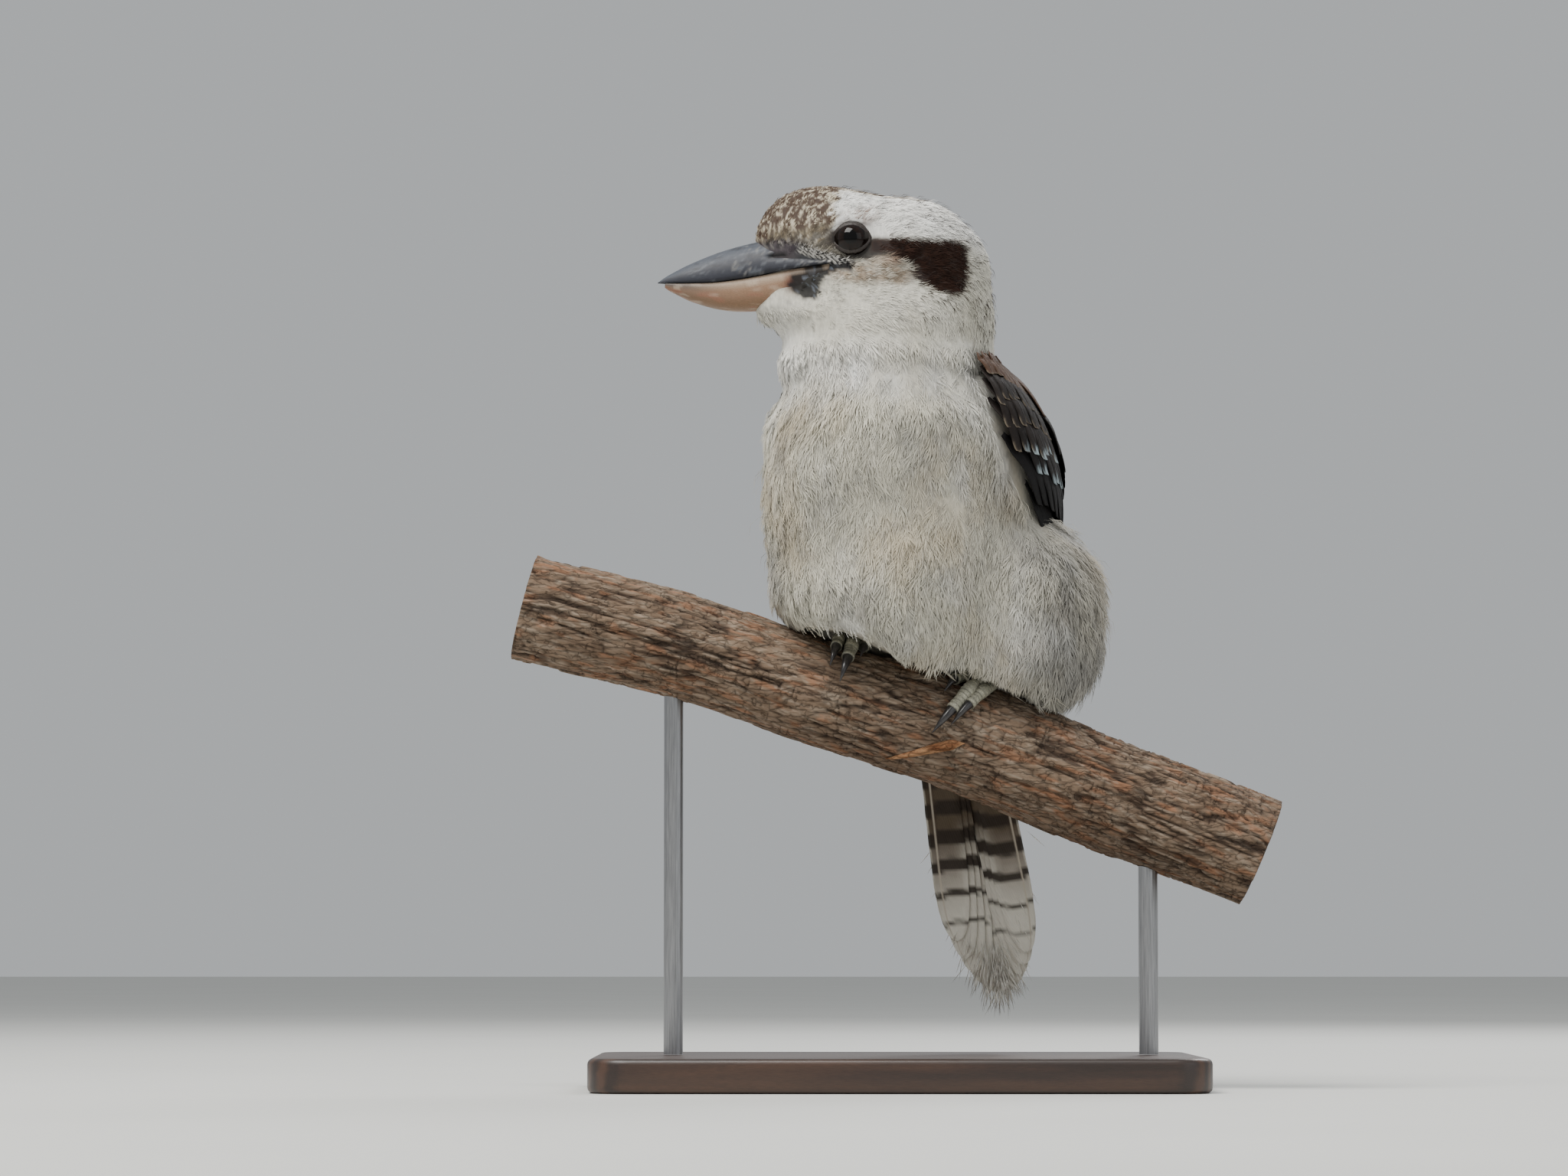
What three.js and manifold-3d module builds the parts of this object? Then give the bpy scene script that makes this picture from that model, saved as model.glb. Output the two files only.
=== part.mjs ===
// A laughing kookaburra sitting upright on a cut length of branch, life size, on a plain display stand.
// Millimetres, +Z up, seen from -Y. The origin is the middle of the base's underside.
import * as THREE from "three";
import { mergeVertices } from "three/addons/utils/BufferGeometryUtils.js";
import Module from "manifold-3d";

const wasm = await Module();
wasm.setup();

// Driving sizes.
const GAP = 0.35;
const VANE_THICKNESS = 0.5;

const base = { length: 250, depth: 166, height: 14, corner: 16, edge: 2.5 };
const rod = { radius: 4, leftX: -92, rightX: 104 };
const perch = { leftEnd: -153.8, rightEnd: 150.2, height: 153.9, fall: 0.341, bend: 0.000275, radius: 22.4, swell: 0.006 };

const bodyYaw = 38;
const bodyOrigin = { x: -1, y: 0, z: 177 };
const headYaw = 87;
const headOrigin = { x: -3.2, y: -5, z: 346 };
const headPlane = 313;
const neckPlane = 289;

const eye = { forward: 16.2, side: 20.5, up: 2.8, radius: 8, lidLength: 7.5, lidHeight: 6.3, lidThickness: 1.25 };
const bill = { tipForward: 95.6, tipUp: -13.3, mouthGap: 0.4 };
const tail = { x: 22, y: 30, z: 182, yaw: 22, lean: 11, drift: 9.5, length: 148, vaneWidth: 15 };
const foot = { leftX: 30.5, rightX: -26, toeRadius: 2.6, clawLength: 12 };

// Small helpers.
const rad = THREE.MathUtils.degToRad;
const mix = THREE.MathUtils.lerp;
const smoothstep = THREE.MathUtils.smoothstep;
const clamp = THREE.MathUtils.clamp;
const vec = (x, y, z) => new THREE.Vector3(x, y, z);
const count = (n) => Array.from({ length: n }, (_, i) => i);

// A smooth curve of value against position, through a few [position, value] stops.
function profile(stops) {
  const slope = (i) => {
    const a = stops[Math.max(i - 1, 0)];
    const b = stops[Math.min(i + 1, stops.length - 1)];
    return (b[1] - a[1]) / (b[0] - a[0]);
  };
  return (position) => {
    const x = clamp(position, stops[0][0], stops[stops.length - 1][0]);
    const i = clamp(stops.findIndex((stop) => stop[0] >= x) - 1, 0, stops.length - 2);
    const span = stops[i + 1][0] - stops[i][0];
    const t = (x - stops[i][0]) / span;
    const t2 = t * t;
    const t3 = t2 * t;
    return (
      (2 * t3 - 3 * t2 + 1) * stops[i][1] +
      (t3 - 2 * t2 + t) * span * slope(i) +
      (3 * t2 - 2 * t3) * stops[i + 1][1] +
      (t3 - t2) * span * slope(i + 1)
    );
  };
}

// The bird's own frame has x forward out of the breast, y to its left and z up. The head's frame is turned to its right.
const birdFrame = new THREE.Matrix4()
  .makeRotationZ(rad(-90 - bodyYaw))
  .setPosition(bodyOrigin.x, bodyOrigin.y, bodyOrigin.z);
const headFrame = new THREE.Matrix4()
  .makeRotationZ(rad(-90 - headYaw))
  .setPosition(headOrigin.x, headOrigin.y, headOrigin.z);
const toBird = birdFrame.clone().invert();
const inBird = (x, y, z) => vec(x, y, z).applyMatrix4(birdFrame);
const inHead = (x, y, z) => vec(x, y, z).applyMatrix4(headFrame);

// A closed mesh as a solid with its faces pointing out.
function solidFrom(points, faces) {
  const signed = faces.reduce((sum, [a, b, c]) => {
    return sum + points[a].dot(points[b].clone().cross(points[c]));
  }, 0);
  const turned = signed < 0 ? faces.map(([a, b, c]) => [a, c, b]) : faces;
  return new wasm.Manifold(
    new wasm.Mesh({
      numProp: 3,
      vertProperties: new Float32Array(points.flatMap((p) => p.toArray())),
      triVerts: new Uint32Array(turned.flat()),
    }),
  );
}

// A three.js geometry, moved by a matrix, as a solid.
function solidOf(geometry, matrix = new THREE.Matrix4()) {
  const bare = geometry.clone().applyMatrix4(matrix);
  bare.deleteAttribute("normal");
  bare.deleteAttribute("uv");
  const merged = mergeVertices(bare, 1e-3);
  return new wasm.Manifold(
    new wasm.Mesh({
      numProp: 3,
      vertProperties: new Float32Array(merged.attributes.position.array),
      triVerts: new Uint32Array(merged.index.array),
    }),
  );
}

// A closed solid through rings of points. A ring of one point is a pole, and any other end is closed by a fan.
// The second half of each ring is split the other way, so that a thin vane's two faces have the same triangles.
function loft(rings) {
  const points = [];
  const faces = [];
  const starts = rings.map((ring) => points.push(...ring) - ring.length);
  const around = Math.max(...rings.map((ring) => ring.length));
  for (let k = 0; k + 1 < rings.length; k++) {
    const a = starts[k];
    const b = starts[k + 1];
    for (let j = 0; j < around; j++) {
      const n = (j + 1) % around;
      if (rings[k].length === 1) faces.push([a, b + n, b + j]);
      else if (rings[k + 1].length === 1) faces.push([a + j, a + n, b]);
      else if (j < around / 2) faces.push([a + j, a + n, b + n], [a + j, b + n, b + j]);
      else faces.push([a + j, a + n, b + j], [a + n, b + n, b + j]);
    }
  }
  const close = (k, turn) => {
    if (rings[k].length === 1) return;
    const middle = rings[k].reduce((sum, p) => sum.add(p), vec(0, 0, 0)).divideScalar(around);
    const m = points.push(middle) - 1;
    for (let j = 0; j < around; j++) {
      const ends = [starts[k] + j, starts[k] + ((j + 1) % around)];
      faces.push(turn ? [m, ends[1], ends[0]] : [m, ends[0], ends[1]]);
    }
  };
  close(0, true);
  close(rings.length - 1, false);
  return solidFrom(points, faces);
}

// The largest closed surface of a solid, which drops loose scraps and fills sealed hollows.
function largest(solid) {
  return solid.decompose().reduce((best, part) => (part.volume() > best.volume() ? part : best));
}

const joined = (solids) => solids.reduce((sum, solid) => sum.add(solid));

// A box between two corners, in a frame.
function block(low, high, frame = new THREE.Matrix4()) {
  const size = high.clone().sub(low);
  const middle = high.clone().add(low).multiplyScalar(0.5);
  const place = frame.clone().multiply(new THREE.Matrix4().makeTranslation(middle.x, middle.y, middle.z));
  return solidOf(new THREE.BoxGeometry(size.x, size.y, size.z), place);
}

// The plumage's outline is a smooth union of a spindle-shaped trunk and rounded masses.
const trunkCentre = profile([[-60, -20], [-30, -22], [0, -23], [30, -24], [55, -21], [77, -15], [100, -4], [122, 6]]);
const trunkRadius = profile([[-60, 40], [-30, 42], [0, 46], [30, 50], [55, 54], [77, 55.5], [100, 52], [122, 41]]);
const TRUNK_LOW = 8;
const TRUNK_HIGH = 122;

function mass(frame, at, radii, blend, power = 2) {
  const place = frame.clone().multiply(new THREE.Matrix4().makeTranslation(...at));
  return { inverse: place.invert(), radii, blend, power };
}

const bellyFrame = new THREE.Matrix4()
  .makeRotationY(rad(16))
  .multiply(new THREE.Matrix4().extractRotation(birdFrame))
  .setPosition(inBird(-2, 1, 33));
const masses = [
  mass(birdFrame, [4, -1, 82], [49, 49, 50], 12),
  mass(bellyFrame, [0, 0, 0], [50.5, 48.5, 43], 14, 2.5),
  mass(birdFrame, [-34, 42, 18], [34, 31, 41], 12, 2.2),
  mass(birdFrame, [-34, -40, 24], [32, 29, 38], 12, 2.2),
  mass(birdFrame, [-38, 0, 6], [31, 34, 40], 12),
  mass(birdFrame, [5, 0, 124], [40, 39, 44], 10),
  mass(headFrame, [-1, 0, -4], [41, 31, 28], 8),
  mass(headFrame, [29, 0, 4], [26.5, 20, 24], 14),
  mass(headFrame, [-19, 0, -28], [27, 31, 36], 10),
  mass(headFrame, [20, 0, -21], [34.5, 23, 20.5], 10),
];

// Hollows in the outline: the eyes' places, and the bare sides of the bill's base above and below the mouth.
const hollows = [1, -1].flatMap((side) => [
  mass(headFrame, [16, side * 37, 2.5], [15, 12.5, 12], 7),
  mass(headFrame, [46, side * 29, -17], [20, 13.5, 8.5], 4),
  mass(headFrame, [46, side * 29, -8], [25, 13, 5.5], 4),
]);

function reach(piece, p) {
  const q = p.clone().applyMatrix4(piece.inverse);
  const shares = [q.x, q.y, q.z].map((c, i) => Math.abs(c) / piece.radii[i]);
  const near = Math.max(shares.reduce((sum, c) => sum + c ** piece.power, 0) ** (1 / piece.power), 1e-6);
  const steep = Math.hypot(...shares.map((c, i) => (c / near) ** (piece.power - 1) / piece.radii[i]));
  return (near - 1) / steep;
}

function blended(a, b, k) {
  const h = Math.max(k - Math.abs(a - b), 0) / k;
  return Math.min(a, b) - (h * h * k) / 4;
}

// Distance from the plumage's outline, below zero inside. The trunk narrows under the throat, where no wing lies on it.
function plumage(p) {
  const q = p.clone().applyMatrix4(toBird);
  const z = clamp(q.z, TRUNK_LOW, TRUNK_HIGH);
  const span = Math.hypot(q.x - trunkCentre(z), q.y);
  const narrowed = 6 * smoothstep(z, 98, TRUNK_HIGH) * smoothstep((q.x - trunkCentre(z)) / span, 0.1, 0.5);
  const sideways = span - trunkRadius(z) + narrowed;
  const trunk = Math.max(sideways, Math.abs(q.z - z) - 4);
  const outer = masses.reduce((d, piece) => blended(d, reach(piece, p), piece.blend), trunk);
  return hollows.reduce((d, piece) => -blended(-d, reach(piece, p), piece.blend), outer);
}

// The place where a line from inside a shape leaves it.
function exit(shape, from, direction) {
  const along = (d) => from.clone().addScaledVector(direction, d);
  let far = 0;
  while (shape(along(far)) < 0 && far < 300) far += 2;
  let near = Math.max(far - 2, 0);
  for (let i = 0; i < 14; i++) {
    const middle = (near + far) / 2;
    if (shape(along(middle)) < 0) near = middle;
    else far = middle;
  }
  return along(near);
}

// Level rings of the plumage's outline, round a line that stays inside it.
const middleX = profile([[-28, 22], [0, 16], [40, 12], [80, 5], [112, -3], [136, -5], [172, -24], [200, -26]]);
const middleY = profile([[-28, 26], [0, 12], [40, 8], [80, 3], [112, -2.5], [136, -5], [172, -6.5], [200, -6.5]]);

function plumageRing(height, around = 28) {
  const centre = vec(middleX(height), middleY(height), bodyOrigin.z + height);
  return count(around).map((j) => {
    const angle = (2 * Math.PI * (j + 0.5)) / around;
    return exit(plumage, centre, vec(Math.cos(angle), Math.sin(angle), 0));
  });
}

function plumagePole(height, sign) {
  return [exit(plumage, vec(middleX(height), middleY(height), bodyOrigin.z + height), vec(0, 0, sign))];
}

// The perch is a gently bent branch that falls to the right. Its angle is 0 on the crest and positive at the front.
function perchCentre(x) {
  return vec(x, 0, perch.height - perch.fall * x - perch.bend * x * x);
}

function perchRadius(x, angle) {
  const swell = perch.radius + perch.swell * x;
  return swell + 0.8 * Math.sin(x / 19 + angle) + 0.5 * Math.sin(x / 31 - 2 * angle);
}

function perchPoint(x, angle, lift) {
  const along = vec(1, 0, -perch.fall - 2 * perch.bend * x).normalize();
  const up = vec(-along.z, 0, along.x);
  const out = up.multiplyScalar(Math.cos(angle)).add(vec(0, -Math.sin(angle), 0));
  return perchCentre(x).addScaledVector(out, perchRadius(x, angle) + lift);
}

function makePerch(grow = 0) {
  const around = 18;
  const stations = 20;
  const rings = count(stations + 1).map((i) => {
    const x = mix(perch.leftEnd - grow, perch.rightEnd + grow, i / stations);
    return count(around).map((j) => perchPoint(x, (2 * Math.PI * j) / around, grow));
  });
  return loft(rings);
}

// The space in front of the perch that the belly's plumage stops short of.
function makeHem() {
  const rings = count(9).map((i) => {
    const x = mix(-120, 120, i / 8);
    const top = perchPoint(x, 0, 2.2).z;
    return [vec(x, -120, top), vec(x, 2, top), vec(x, 2, top - 40), vec(x, -120, top - 90)];
  });
  return loft(rings);
}

// The stand: a flat base with a softened edge, and two rods cut to the perch's underside.
function makeBase() {
  const shape = new THREE.Shape();
  const w = base.length / 2 - base.edge;
  const d = base.depth / 2 - base.edge;
  const r = base.corner;
  shape.moveTo(-w + r, -d);
  shape.absarc(w - r, -d + r, r, -Math.PI / 2, 0);
  shape.absarc(w - r, d - r, r, 0, Math.PI / 2);
  shape.absarc(-w + r, d - r, r, Math.PI / 2, Math.PI);
  shape.absarc(-w + r, -d + r, r, Math.PI, (3 * Math.PI) / 2);
  const geometry = new THREE.ExtrudeGeometry(shape, {
    depth: base.height - 2 * base.edge,
    bevelThickness: base.edge,
    bevelSize: base.edge,
    bevelSegments: 2,
    curveSegments: 3,
  });
  return solidOf(geometry, new THREE.Matrix4().makeTranslation(0, 0, base.edge));
}

function makeRod(x, perchGrown) {
  const top = perchCentre(x).z;
  const foot = base.height + GAP;
  const geometry = new THREE.CylinderGeometry(rod.radius, rod.radius, top - foot, 16).rotateX(Math.PI / 2);
  const whole = solidOf(geometry, new THREE.Matrix4().makeTranslation(x, 0, (top + foot) / 2));
  return largest(whole.subtract(perchGrown));
}

// The bill's outlines are heights above its tip against the distance back from the tip.
const culmen = profile([[0, 0.4], [3, 2.6], [8.6, 5.8], [14, 8.5], [25, 13], [37, 16.6], [46, 18], [58, 15], [69, 11], [77, 9.4]]);
const mouthLine = profile([[0, 0], [20, -0.3], [31, 0.6], [42, 2.3], [54, 4.3], [65, 5.7], [77, 7.2], [82, 7.4]]);
const keel = profile([[2, -0.9], [4.4, -2.7], [8.6, -4.9], [14, -7.4], [25, -10.5], [36, -11.4], [52, -10], [72, -6]]);
const billWidth = profile([[0, 0.7], [5, 3], [14, 6.2], [28, 9.6], [42, 12.4], [52, 16], [62, 19.5], [72, 22.4], [82, 21]]);

// One half of the bill: a rounded ridge or keel closed by a flat mouth face.
function makeBill(upper, grow = 0) {
  const ridge = upper ? culmen : keel;
  const sign = upper ? 1 : -1;
  const stations = upper ? [0, 2, 5, 10, 18, 28, 38, 48, 58, 68, 77] : [3, 5, 9, 15, 23, 32, 42, 52, 62, 70];
  const rings = stations.map((d, i) => {
    const x = bill.tipForward - d + (i === 0 ? grow : 0) - (i === stations.length - 1 ? grow : 0);
    const edge = bill.tipUp + mouthLine(d) + sign * (bill.mouthGap / 2 - grow);
    const top = bill.tipUp + ridge(d) + sign * grow;
    const half = billWidth(d) * (upper ? 1 : 0.94) + grow;
    const round = upper ? 0.85 : 0.6;
    const arch = count(9).map((k) => {
      const angle = (Math.PI * k) / 8;
      return inHead(x, half * Math.cos(angle), edge + (top - edge) * Math.sin(angle) ** round);
    });
    const flat = [-0.5, 0, 0.5].map((share) => inHead(x, share * half, edge));
    return [...arch, ...flat];
  });
  return loft(rings);
}

// A nostril is a slit that slants forward and down in the side of the upper bill.
function makeNostril(side) {
  const back = 50;
  const geometry = new THREE.SphereGeometry(1, 10, 8).scale(3.6, 2.4, 1.1).rotateY(rad(8));
  const up = bill.tipUp + 13.2;
  const place = headFrame
    .clone()
    .multiply(new THREE.Matrix4().makeTranslation(bill.tipForward - back, side * 12, up));
  return solidOf(geometry, place);
}

// The mouth's line runs on behind the bill to below the eye, as a groove in the head.
function makeMouthGroove() {
  const rings = [66, 70, 74, 78, 82, 86].map((d) => {
    const x = bill.tipForward - d;
    const up = bill.tipUp + mouthLine(d);
    const half = 0.55 * (1 - smoothstep(d, 74, 88)) + 0.1;
    return [inHead(x, 45, up + half), inHead(x, -45, up + half), inHead(x, -45, up - half), inHead(x, 45, up - half)];
  });
  return loft(rings);
}

function makeEye(side, grow = 0) {
  const geometry = new THREE.SphereGeometry(eye.radius + grow, 16, 10).rotateX(Math.PI / 2);
  const place = headFrame
    .clone()
    .multiply(new THREE.Matrix4().makeTranslation(eye.forward, side * eye.side, eye.up));
  return solidOf(geometry, place);
}

// Eyelids: an oval rim that faces sideways and a little forward.
function makeLids(side) {
  const geometry = new THREE.TorusGeometry(1, eye.lidThickness / eye.lidLength, 5, 16)
    .scale(eye.lidLength, eye.lidHeight, eye.lidLength)
    .rotateX(Math.PI / 2);
  const place = headFrame
    .clone()
    .multiply(new THREE.Matrix4().makeTranslation(eye.forward, side * (eye.side + 4.4), eye.up))
    .multiply(new THREE.Matrix4().makeRotationZ(rad(side * -8)));
  return solidOf(geometry, place);
}

function makeHead() {
  const low = headPlane + GAP - bodyOrigin.z;
  const high = headOrigin.z + 27.5 - bodyOrigin.z;
  const levels = count(12).map((i) => mix(low, high, Math.sin((Math.PI * i) / 22.5)));
  const whole = loft([...levels.map((height) => plumageRing(height)), plumagePole(high, 1)]);
  const withLids = joined([whole, makeLids(1), makeLids(-1)]);
  const core = block(vec(0, -20, -22), vec(50, 20, 6), headFrame);
  const groove = makeMouthGroove().subtract(core);
  const pockets = [makeBill(true, GAP), makeBill(false, GAP), makeEye(1, GAP), makeEye(-1, GAP), groove];
  return largest(withLids.subtract(joined(pockets)));
}

function makeNeck(pockets) {
  const low = neckPlane - bodyOrigin.z;
  const high = headPlane - bodyOrigin.z;
  const rings = count(5).map((i) => plumageRing(mix(low, high, i / 4)));
  return largest(loft(rings).subtract(pockets));
}

// A point on the wing's bed, the trunk's side: height above the perch, angle round from the breast, and lift off it.
function bedPoint(side, height, angle, lift) {
  const r = trunkRadius(height) + lift;
  return inBird(trunkCentre(height) + r * Math.cos(angle), side * r * Math.sin(angle), height);
}

// The folded wing covers the bed between a front edge, which the flank's plumage hides lower down, and a back edge.
const wingFront = profile(
  [[-60, 152], [-30, 148], [0, 142], [30, 136], [52, 126], [60, 106], [67, 89], [77, 80], [90, 78], [108, 83], [122, 87]],
);
const wingBack = profile([[-60, 176], [0, 173], [60, 170], [100, 164], [122, 158]]);
const vaneFront = profile([[-60, 150], [-20, 136], [20, 116], [50, 98], [77, 84], [90, 80], [108, 83], [122, 87]]);

function wingAngle(front, share, height, inset = 0) {
  const edge = inset / trunkRadius(height);
  return mix(rad(front(height)) + edge, rad(wingBack(height)) - edge, share);
}

const wingCore = profile([[14, 0.8], [40, 1.4], [70, 2.4], [86, 3.6], [98, 6], [107, 8], [115, 8.5], [122, 6]]);
const wingLevels = [122, 115, 107, 98, 88, 77, 67, 60, 52, 44, 32, 14];

function makeWingCore(side) {
  const across = 6;
  const rings = wingLevels.map((height) => {
    const arc = (lift) =>
      count(across + 1).map((j) => {
        const share = j / across;
        const rim = Math.min(1, 5 * Math.min(share, 1 - share) + 0.25);
        return bedPoint(side, height, wingAngle(wingFront, share, height), lift * rim);
      });
    return [...arc(wingCore(height)), ...arc(0.01).reverse()];
  });
  return loft(rings);
}

// The space that a wing keeps to, out through the plumage. Grown by a gap, it is what the trunk loses.
function makeWingSpace(side, grow = 0) {
  const across = 6;
  const levels = grow ? [122 + 2 * grow, ...wingLevels] : wingLevels;
  const rings = [...levels, -4, -24, -44, -62].map((height) => {
    const arc = (lift) =>
      count(across + 1).map((j) => bedPoint(side, height, wingAngle(wingFront, j / across, height, -grow), lift));
    return [...arc(40), ...arc(-grow).reverse()];
  });
  return loft(rings);
}

// A vane along a path: thin, flat across, narrowed at its root and tapered at its tip.
function makeVane(path, length, width, tilt, tipShape, steps = 3) {
  const rings = count(steps + 1).map((i) => {
    const t = i / steps;
    const here = path(t * length);
    const ahead = path(t * length + 1);
    const along = ahead.point.clone().sub(here.point).normalize();
    const out = here.out.clone().addScaledVector(along, -here.out.dot(along)).normalize();
    const across = along.clone().cross(out).normalize();
    const half = (width / 2) * mix(1, tipShape, smoothstep(t, 0.5, 1)) * mix(0.7, 1, smoothstep(t, 0, 0.3));
    const thick = VANE_THICKNESS / 2;
    const at = (v, up) =>
      here.point
        .clone()
        .addScaledVector(across, v * half)
        .addScaledVector(out, up + v * tilt);
    return [at(-1, thick), at(1, thick), at(1, -thick), at(-1, -thick)];
  });
  return loft(rings);
}

// The tiers of a folded wing, from the innermost out. Heights of roots and tips run from the front feather to the
// back one, and lifts are those at a feather's root, middle and tip.
const wingTiers = [
  { name: "primaries", feathers: 4, root: [40, 40], tip: [-42, -58], lift: [0.5, 1.2, 1.2], width: 7, from: 0.3 },
  { name: "secondaries", feathers: 7, root: [60, 62], tip: [14, -22], lift: [0.5, 2.9, 2.6], width: 9, from: 0 },
  { name: "greater coverts", feathers: 6, root: [80, 82], tip: [46, 40], lift: [0.6, 4.6, 4.2], width: 14, from: 0 },
  { name: "median coverts", feathers: 6, root: [98, 99], tip: [71, 66], lift: [0.8, 6.4, 5.9], width: 14, from: 0 },
  { name: "lesser coverts", feathers: 6, root: [118, 118], tip: [91, 88], lift: [5, 9.4, 7.6], width: 14, from: 0 },
  { name: "scapulars", feathers: 3, root: [104, 108], tip: [70, 52], lift: [3, 11, 9], width: 15, from: 0.75 },
];

function makeWing(side) {
  const vanes = wingTiers.flatMap((tier, t) =>
    count(tier.feathers).map((i) => {
      const k = i / (tier.feathers - 1);
      const share = mix(tier.from, 1, k);
      const root = mix(tier.root[0], tier.root[1], k);
      const tip = mix(tier.tip[0], tier.tip[1], k) + 1.5 * Math.sin(7 * i + t);
      const [rootAngle, tipAngle] = [root, tip].map((height) => wingAngle(vaneFront, share, height, tier.width / 2));
      const lift = profile([[0, tier.lift[0]], [0.4, tier.lift[1]], [1, tier.lift[2]]]);
      const path = (d) => {
        const along = d / (root - tip);
        const angle = mix(rootAngle, tipAngle, along);
        const point = bedPoint(side, root - d, angle, lift(along));
        const out = bedPoint(side, root - d, angle, lift(along) + 1).sub(point);
        return { point, out };
      };
      return makeVane(path, root - tip, tier.width, 0.78 * side, 0.4);
    }),
  );
  return joined([makeWingCore(side), ...vanes]).intersect(makeWingSpace(side));
}

// The tail's frame: x across to the bird's left, y out of its back and z up along the shafts.
function makeTailFrame() {
  const down = vec(Math.sin(rad(tail.drift)), Math.sin(rad(tail.lean)), -1).normalize();
  const up = down.clone().negate();
  const left = vec(Math.cos(rad(tail.yaw)), -Math.sin(rad(tail.yaw)), 0);
  left.addScaledVector(up, -left.dot(up)).normalize();
  const back = up.clone().cross(left);
  return new THREE.Matrix4().makeBasis(left, back, up).setPosition(tail.x, tail.y, tail.z);
}

const tailFrame = makeTailFrame();
const inTail = (x, y, z) => vec(x, y, z).applyMatrix4(tailFrame);

// One tail vane or covert, from its root down the tail.
function makeTailVane(root, spread, length, width, tilt, bow) {
  const path = (d) => {
    const point = inTail(root.x + spread * d, root.y + bow * d * d, root.z - d);
    const out = inTail(root.x + spread * d, root.y + bow * d * d + 1, root.z - d).sub(point);
    return { point, out };
  };
  return makeVane(path, length, width, tilt, 0.45);
}

function makeTail() {
  const pairs = 6;
  const vanes = [-1, 1].flatMap((side) =>
    count(pairs).map((i) => {
      const root = vec(side * mix(1.5, 9, i / 5), 2.6 - 1.1 * i + side * 0.28, -12);
      const length = tail.length - 12 - (side > 0 ? 0.45 : 0.75) * i * i - 1.2 * i;
      return makeTailVane(root, side * mix(0.004, 0.052, i / 5), length, tail.vaneWidth, 0, 0);
    }),
  );
  const coverts = [-1, 1].flatMap((face) =>
    count(5).map((i) => {
      const k = i - 2;
      const root = vec(k * 6.5, face * 5.2 - 0.4, -2 - 1.5 * Math.abs(k));
      return makeTailVane(root, k * 0.02, 42 - 5 * Math.abs(k), 12, 0.55, -face * 0.0006);
    }),
  );
  const core = count(6).map((i) => {
    const z = mix(0, -34, i / 5);
    const half = mix(17, 13, i / 5);
    const thick = mix(10, 3, i / 5);
    return count(12).map((j) => {
      const angle = (2 * Math.PI * j) / 12;
      return inTail(half * Math.cos(angle), thick * Math.sin(angle) - 0.4, z);
    });
  });
  return largest(joined([loft(core), ...vanes, ...coverts]));
}

// A toe follows the perch's surface from the foot's hub, and ends in the face that its claw meets.
const toeNames = ["inner", "middle", "outer", "hind"];

function toePlan(side, name) {
  const hub = side > 0 ? foot.leftX : foot.rightX;
  const slant = side > 0 ? -10 : 0;
  const far = side > 0 ? 18 : 0;
  const plans = {
    inner: { x: side * -5.6, turn: 24 + far * 0.6, slant: slant * 0.8, radius: 0.86 },
    middle: { x: side * -1, turn: 52 + far, slant, radius: 1 },
    outer: { x: side * 4.6, turn: 41 + far, slant, radius: 0.92 },
    hind: { x: side * -2, turn: -40, slant: 0, radius: 0.95 },
  };
  return { hub, ...plans[name] };
}

function tubeAlong(path, radiusAt, steps, around) {
  const rings = count(steps + 1).map((i) => {
    const t = i / steps;
    const here = path(t);
    const along = path(t + 0.02).point.sub(path(t - 0.02).point).normalize();
    const out = here.out.clone().addScaledVector(along, -here.out.dot(along)).normalize();
    const across = along.clone().cross(out);
    return count(around).map((j) => {
      const angle = (2 * Math.PI * j) / around;
      return here.point
        .clone()
        .addScaledVector(across, radiusAt(t) * Math.cos(angle))
        .addScaledVector(out, radiusAt(t) * Math.sin(angle));
    });
  });
  return loft(rings);
}

function toePath(plan, lift) {
  return (t) => {
    const x = plan.hub + mix(plan.x * 0.3, plan.x, smoothstep(t, 0, 0.5)) + plan.slant * t;
    const angle = rad(plan.turn * t);
    const point = perchPoint(x, angle, lift(t));
    return { point, out: perchPoint(x, angle, lift(t) + 1).sub(point) };
  };
}

// Toes swell at each joint.
const toeRadius = (plan) => (t) =>
  foot.toeRadius * plan.radius * mix(1.12, 0.88, t) * (1 + 0.07 * Math.cos(6 * Math.PI * t));

function makeToe(side, name, grow = 0) {
  const plan = toePlan(side, name);
  const radius = toeRadius(plan);
  const path = toePath(plan, (t) => radius(t) + GAP + 0.25);
  return grow ? tubeAlong(path, () => foot.toeRadius + grow, 3, 6) : tubeAlong(path, radius, 6, 8);
}

function makeFoot(side, grow = 0) {
  const hub = side > 0 ? foot.leftX : foot.rightX;
  const sole = perchPoint(hub, 0, 3.4);
  const ankle = inBird(-14, side * 25, 30);
  const path = (t) => ({ point: sole.clone().lerp(ankle, t), out: vec(0, -1, 0) });
  const shank = tubeAlong(path, (t) => 2.9 + grow + 1.6 * smoothstep(t, 0.4, 1), grow ? 2 : 4, grow ? 6 : 8);
  const hubPad = solidOf(
    new THREE.SphereGeometry(3.6 + grow, 8, 6),
    new THREE.Matrix4().makeTranslation(sole.x, sole.y, sole.z + 0.9),
  );
  return joined([shank, hubPad, ...toeNames.map((name) => makeToe(side, name, grow))]);
}

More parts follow.
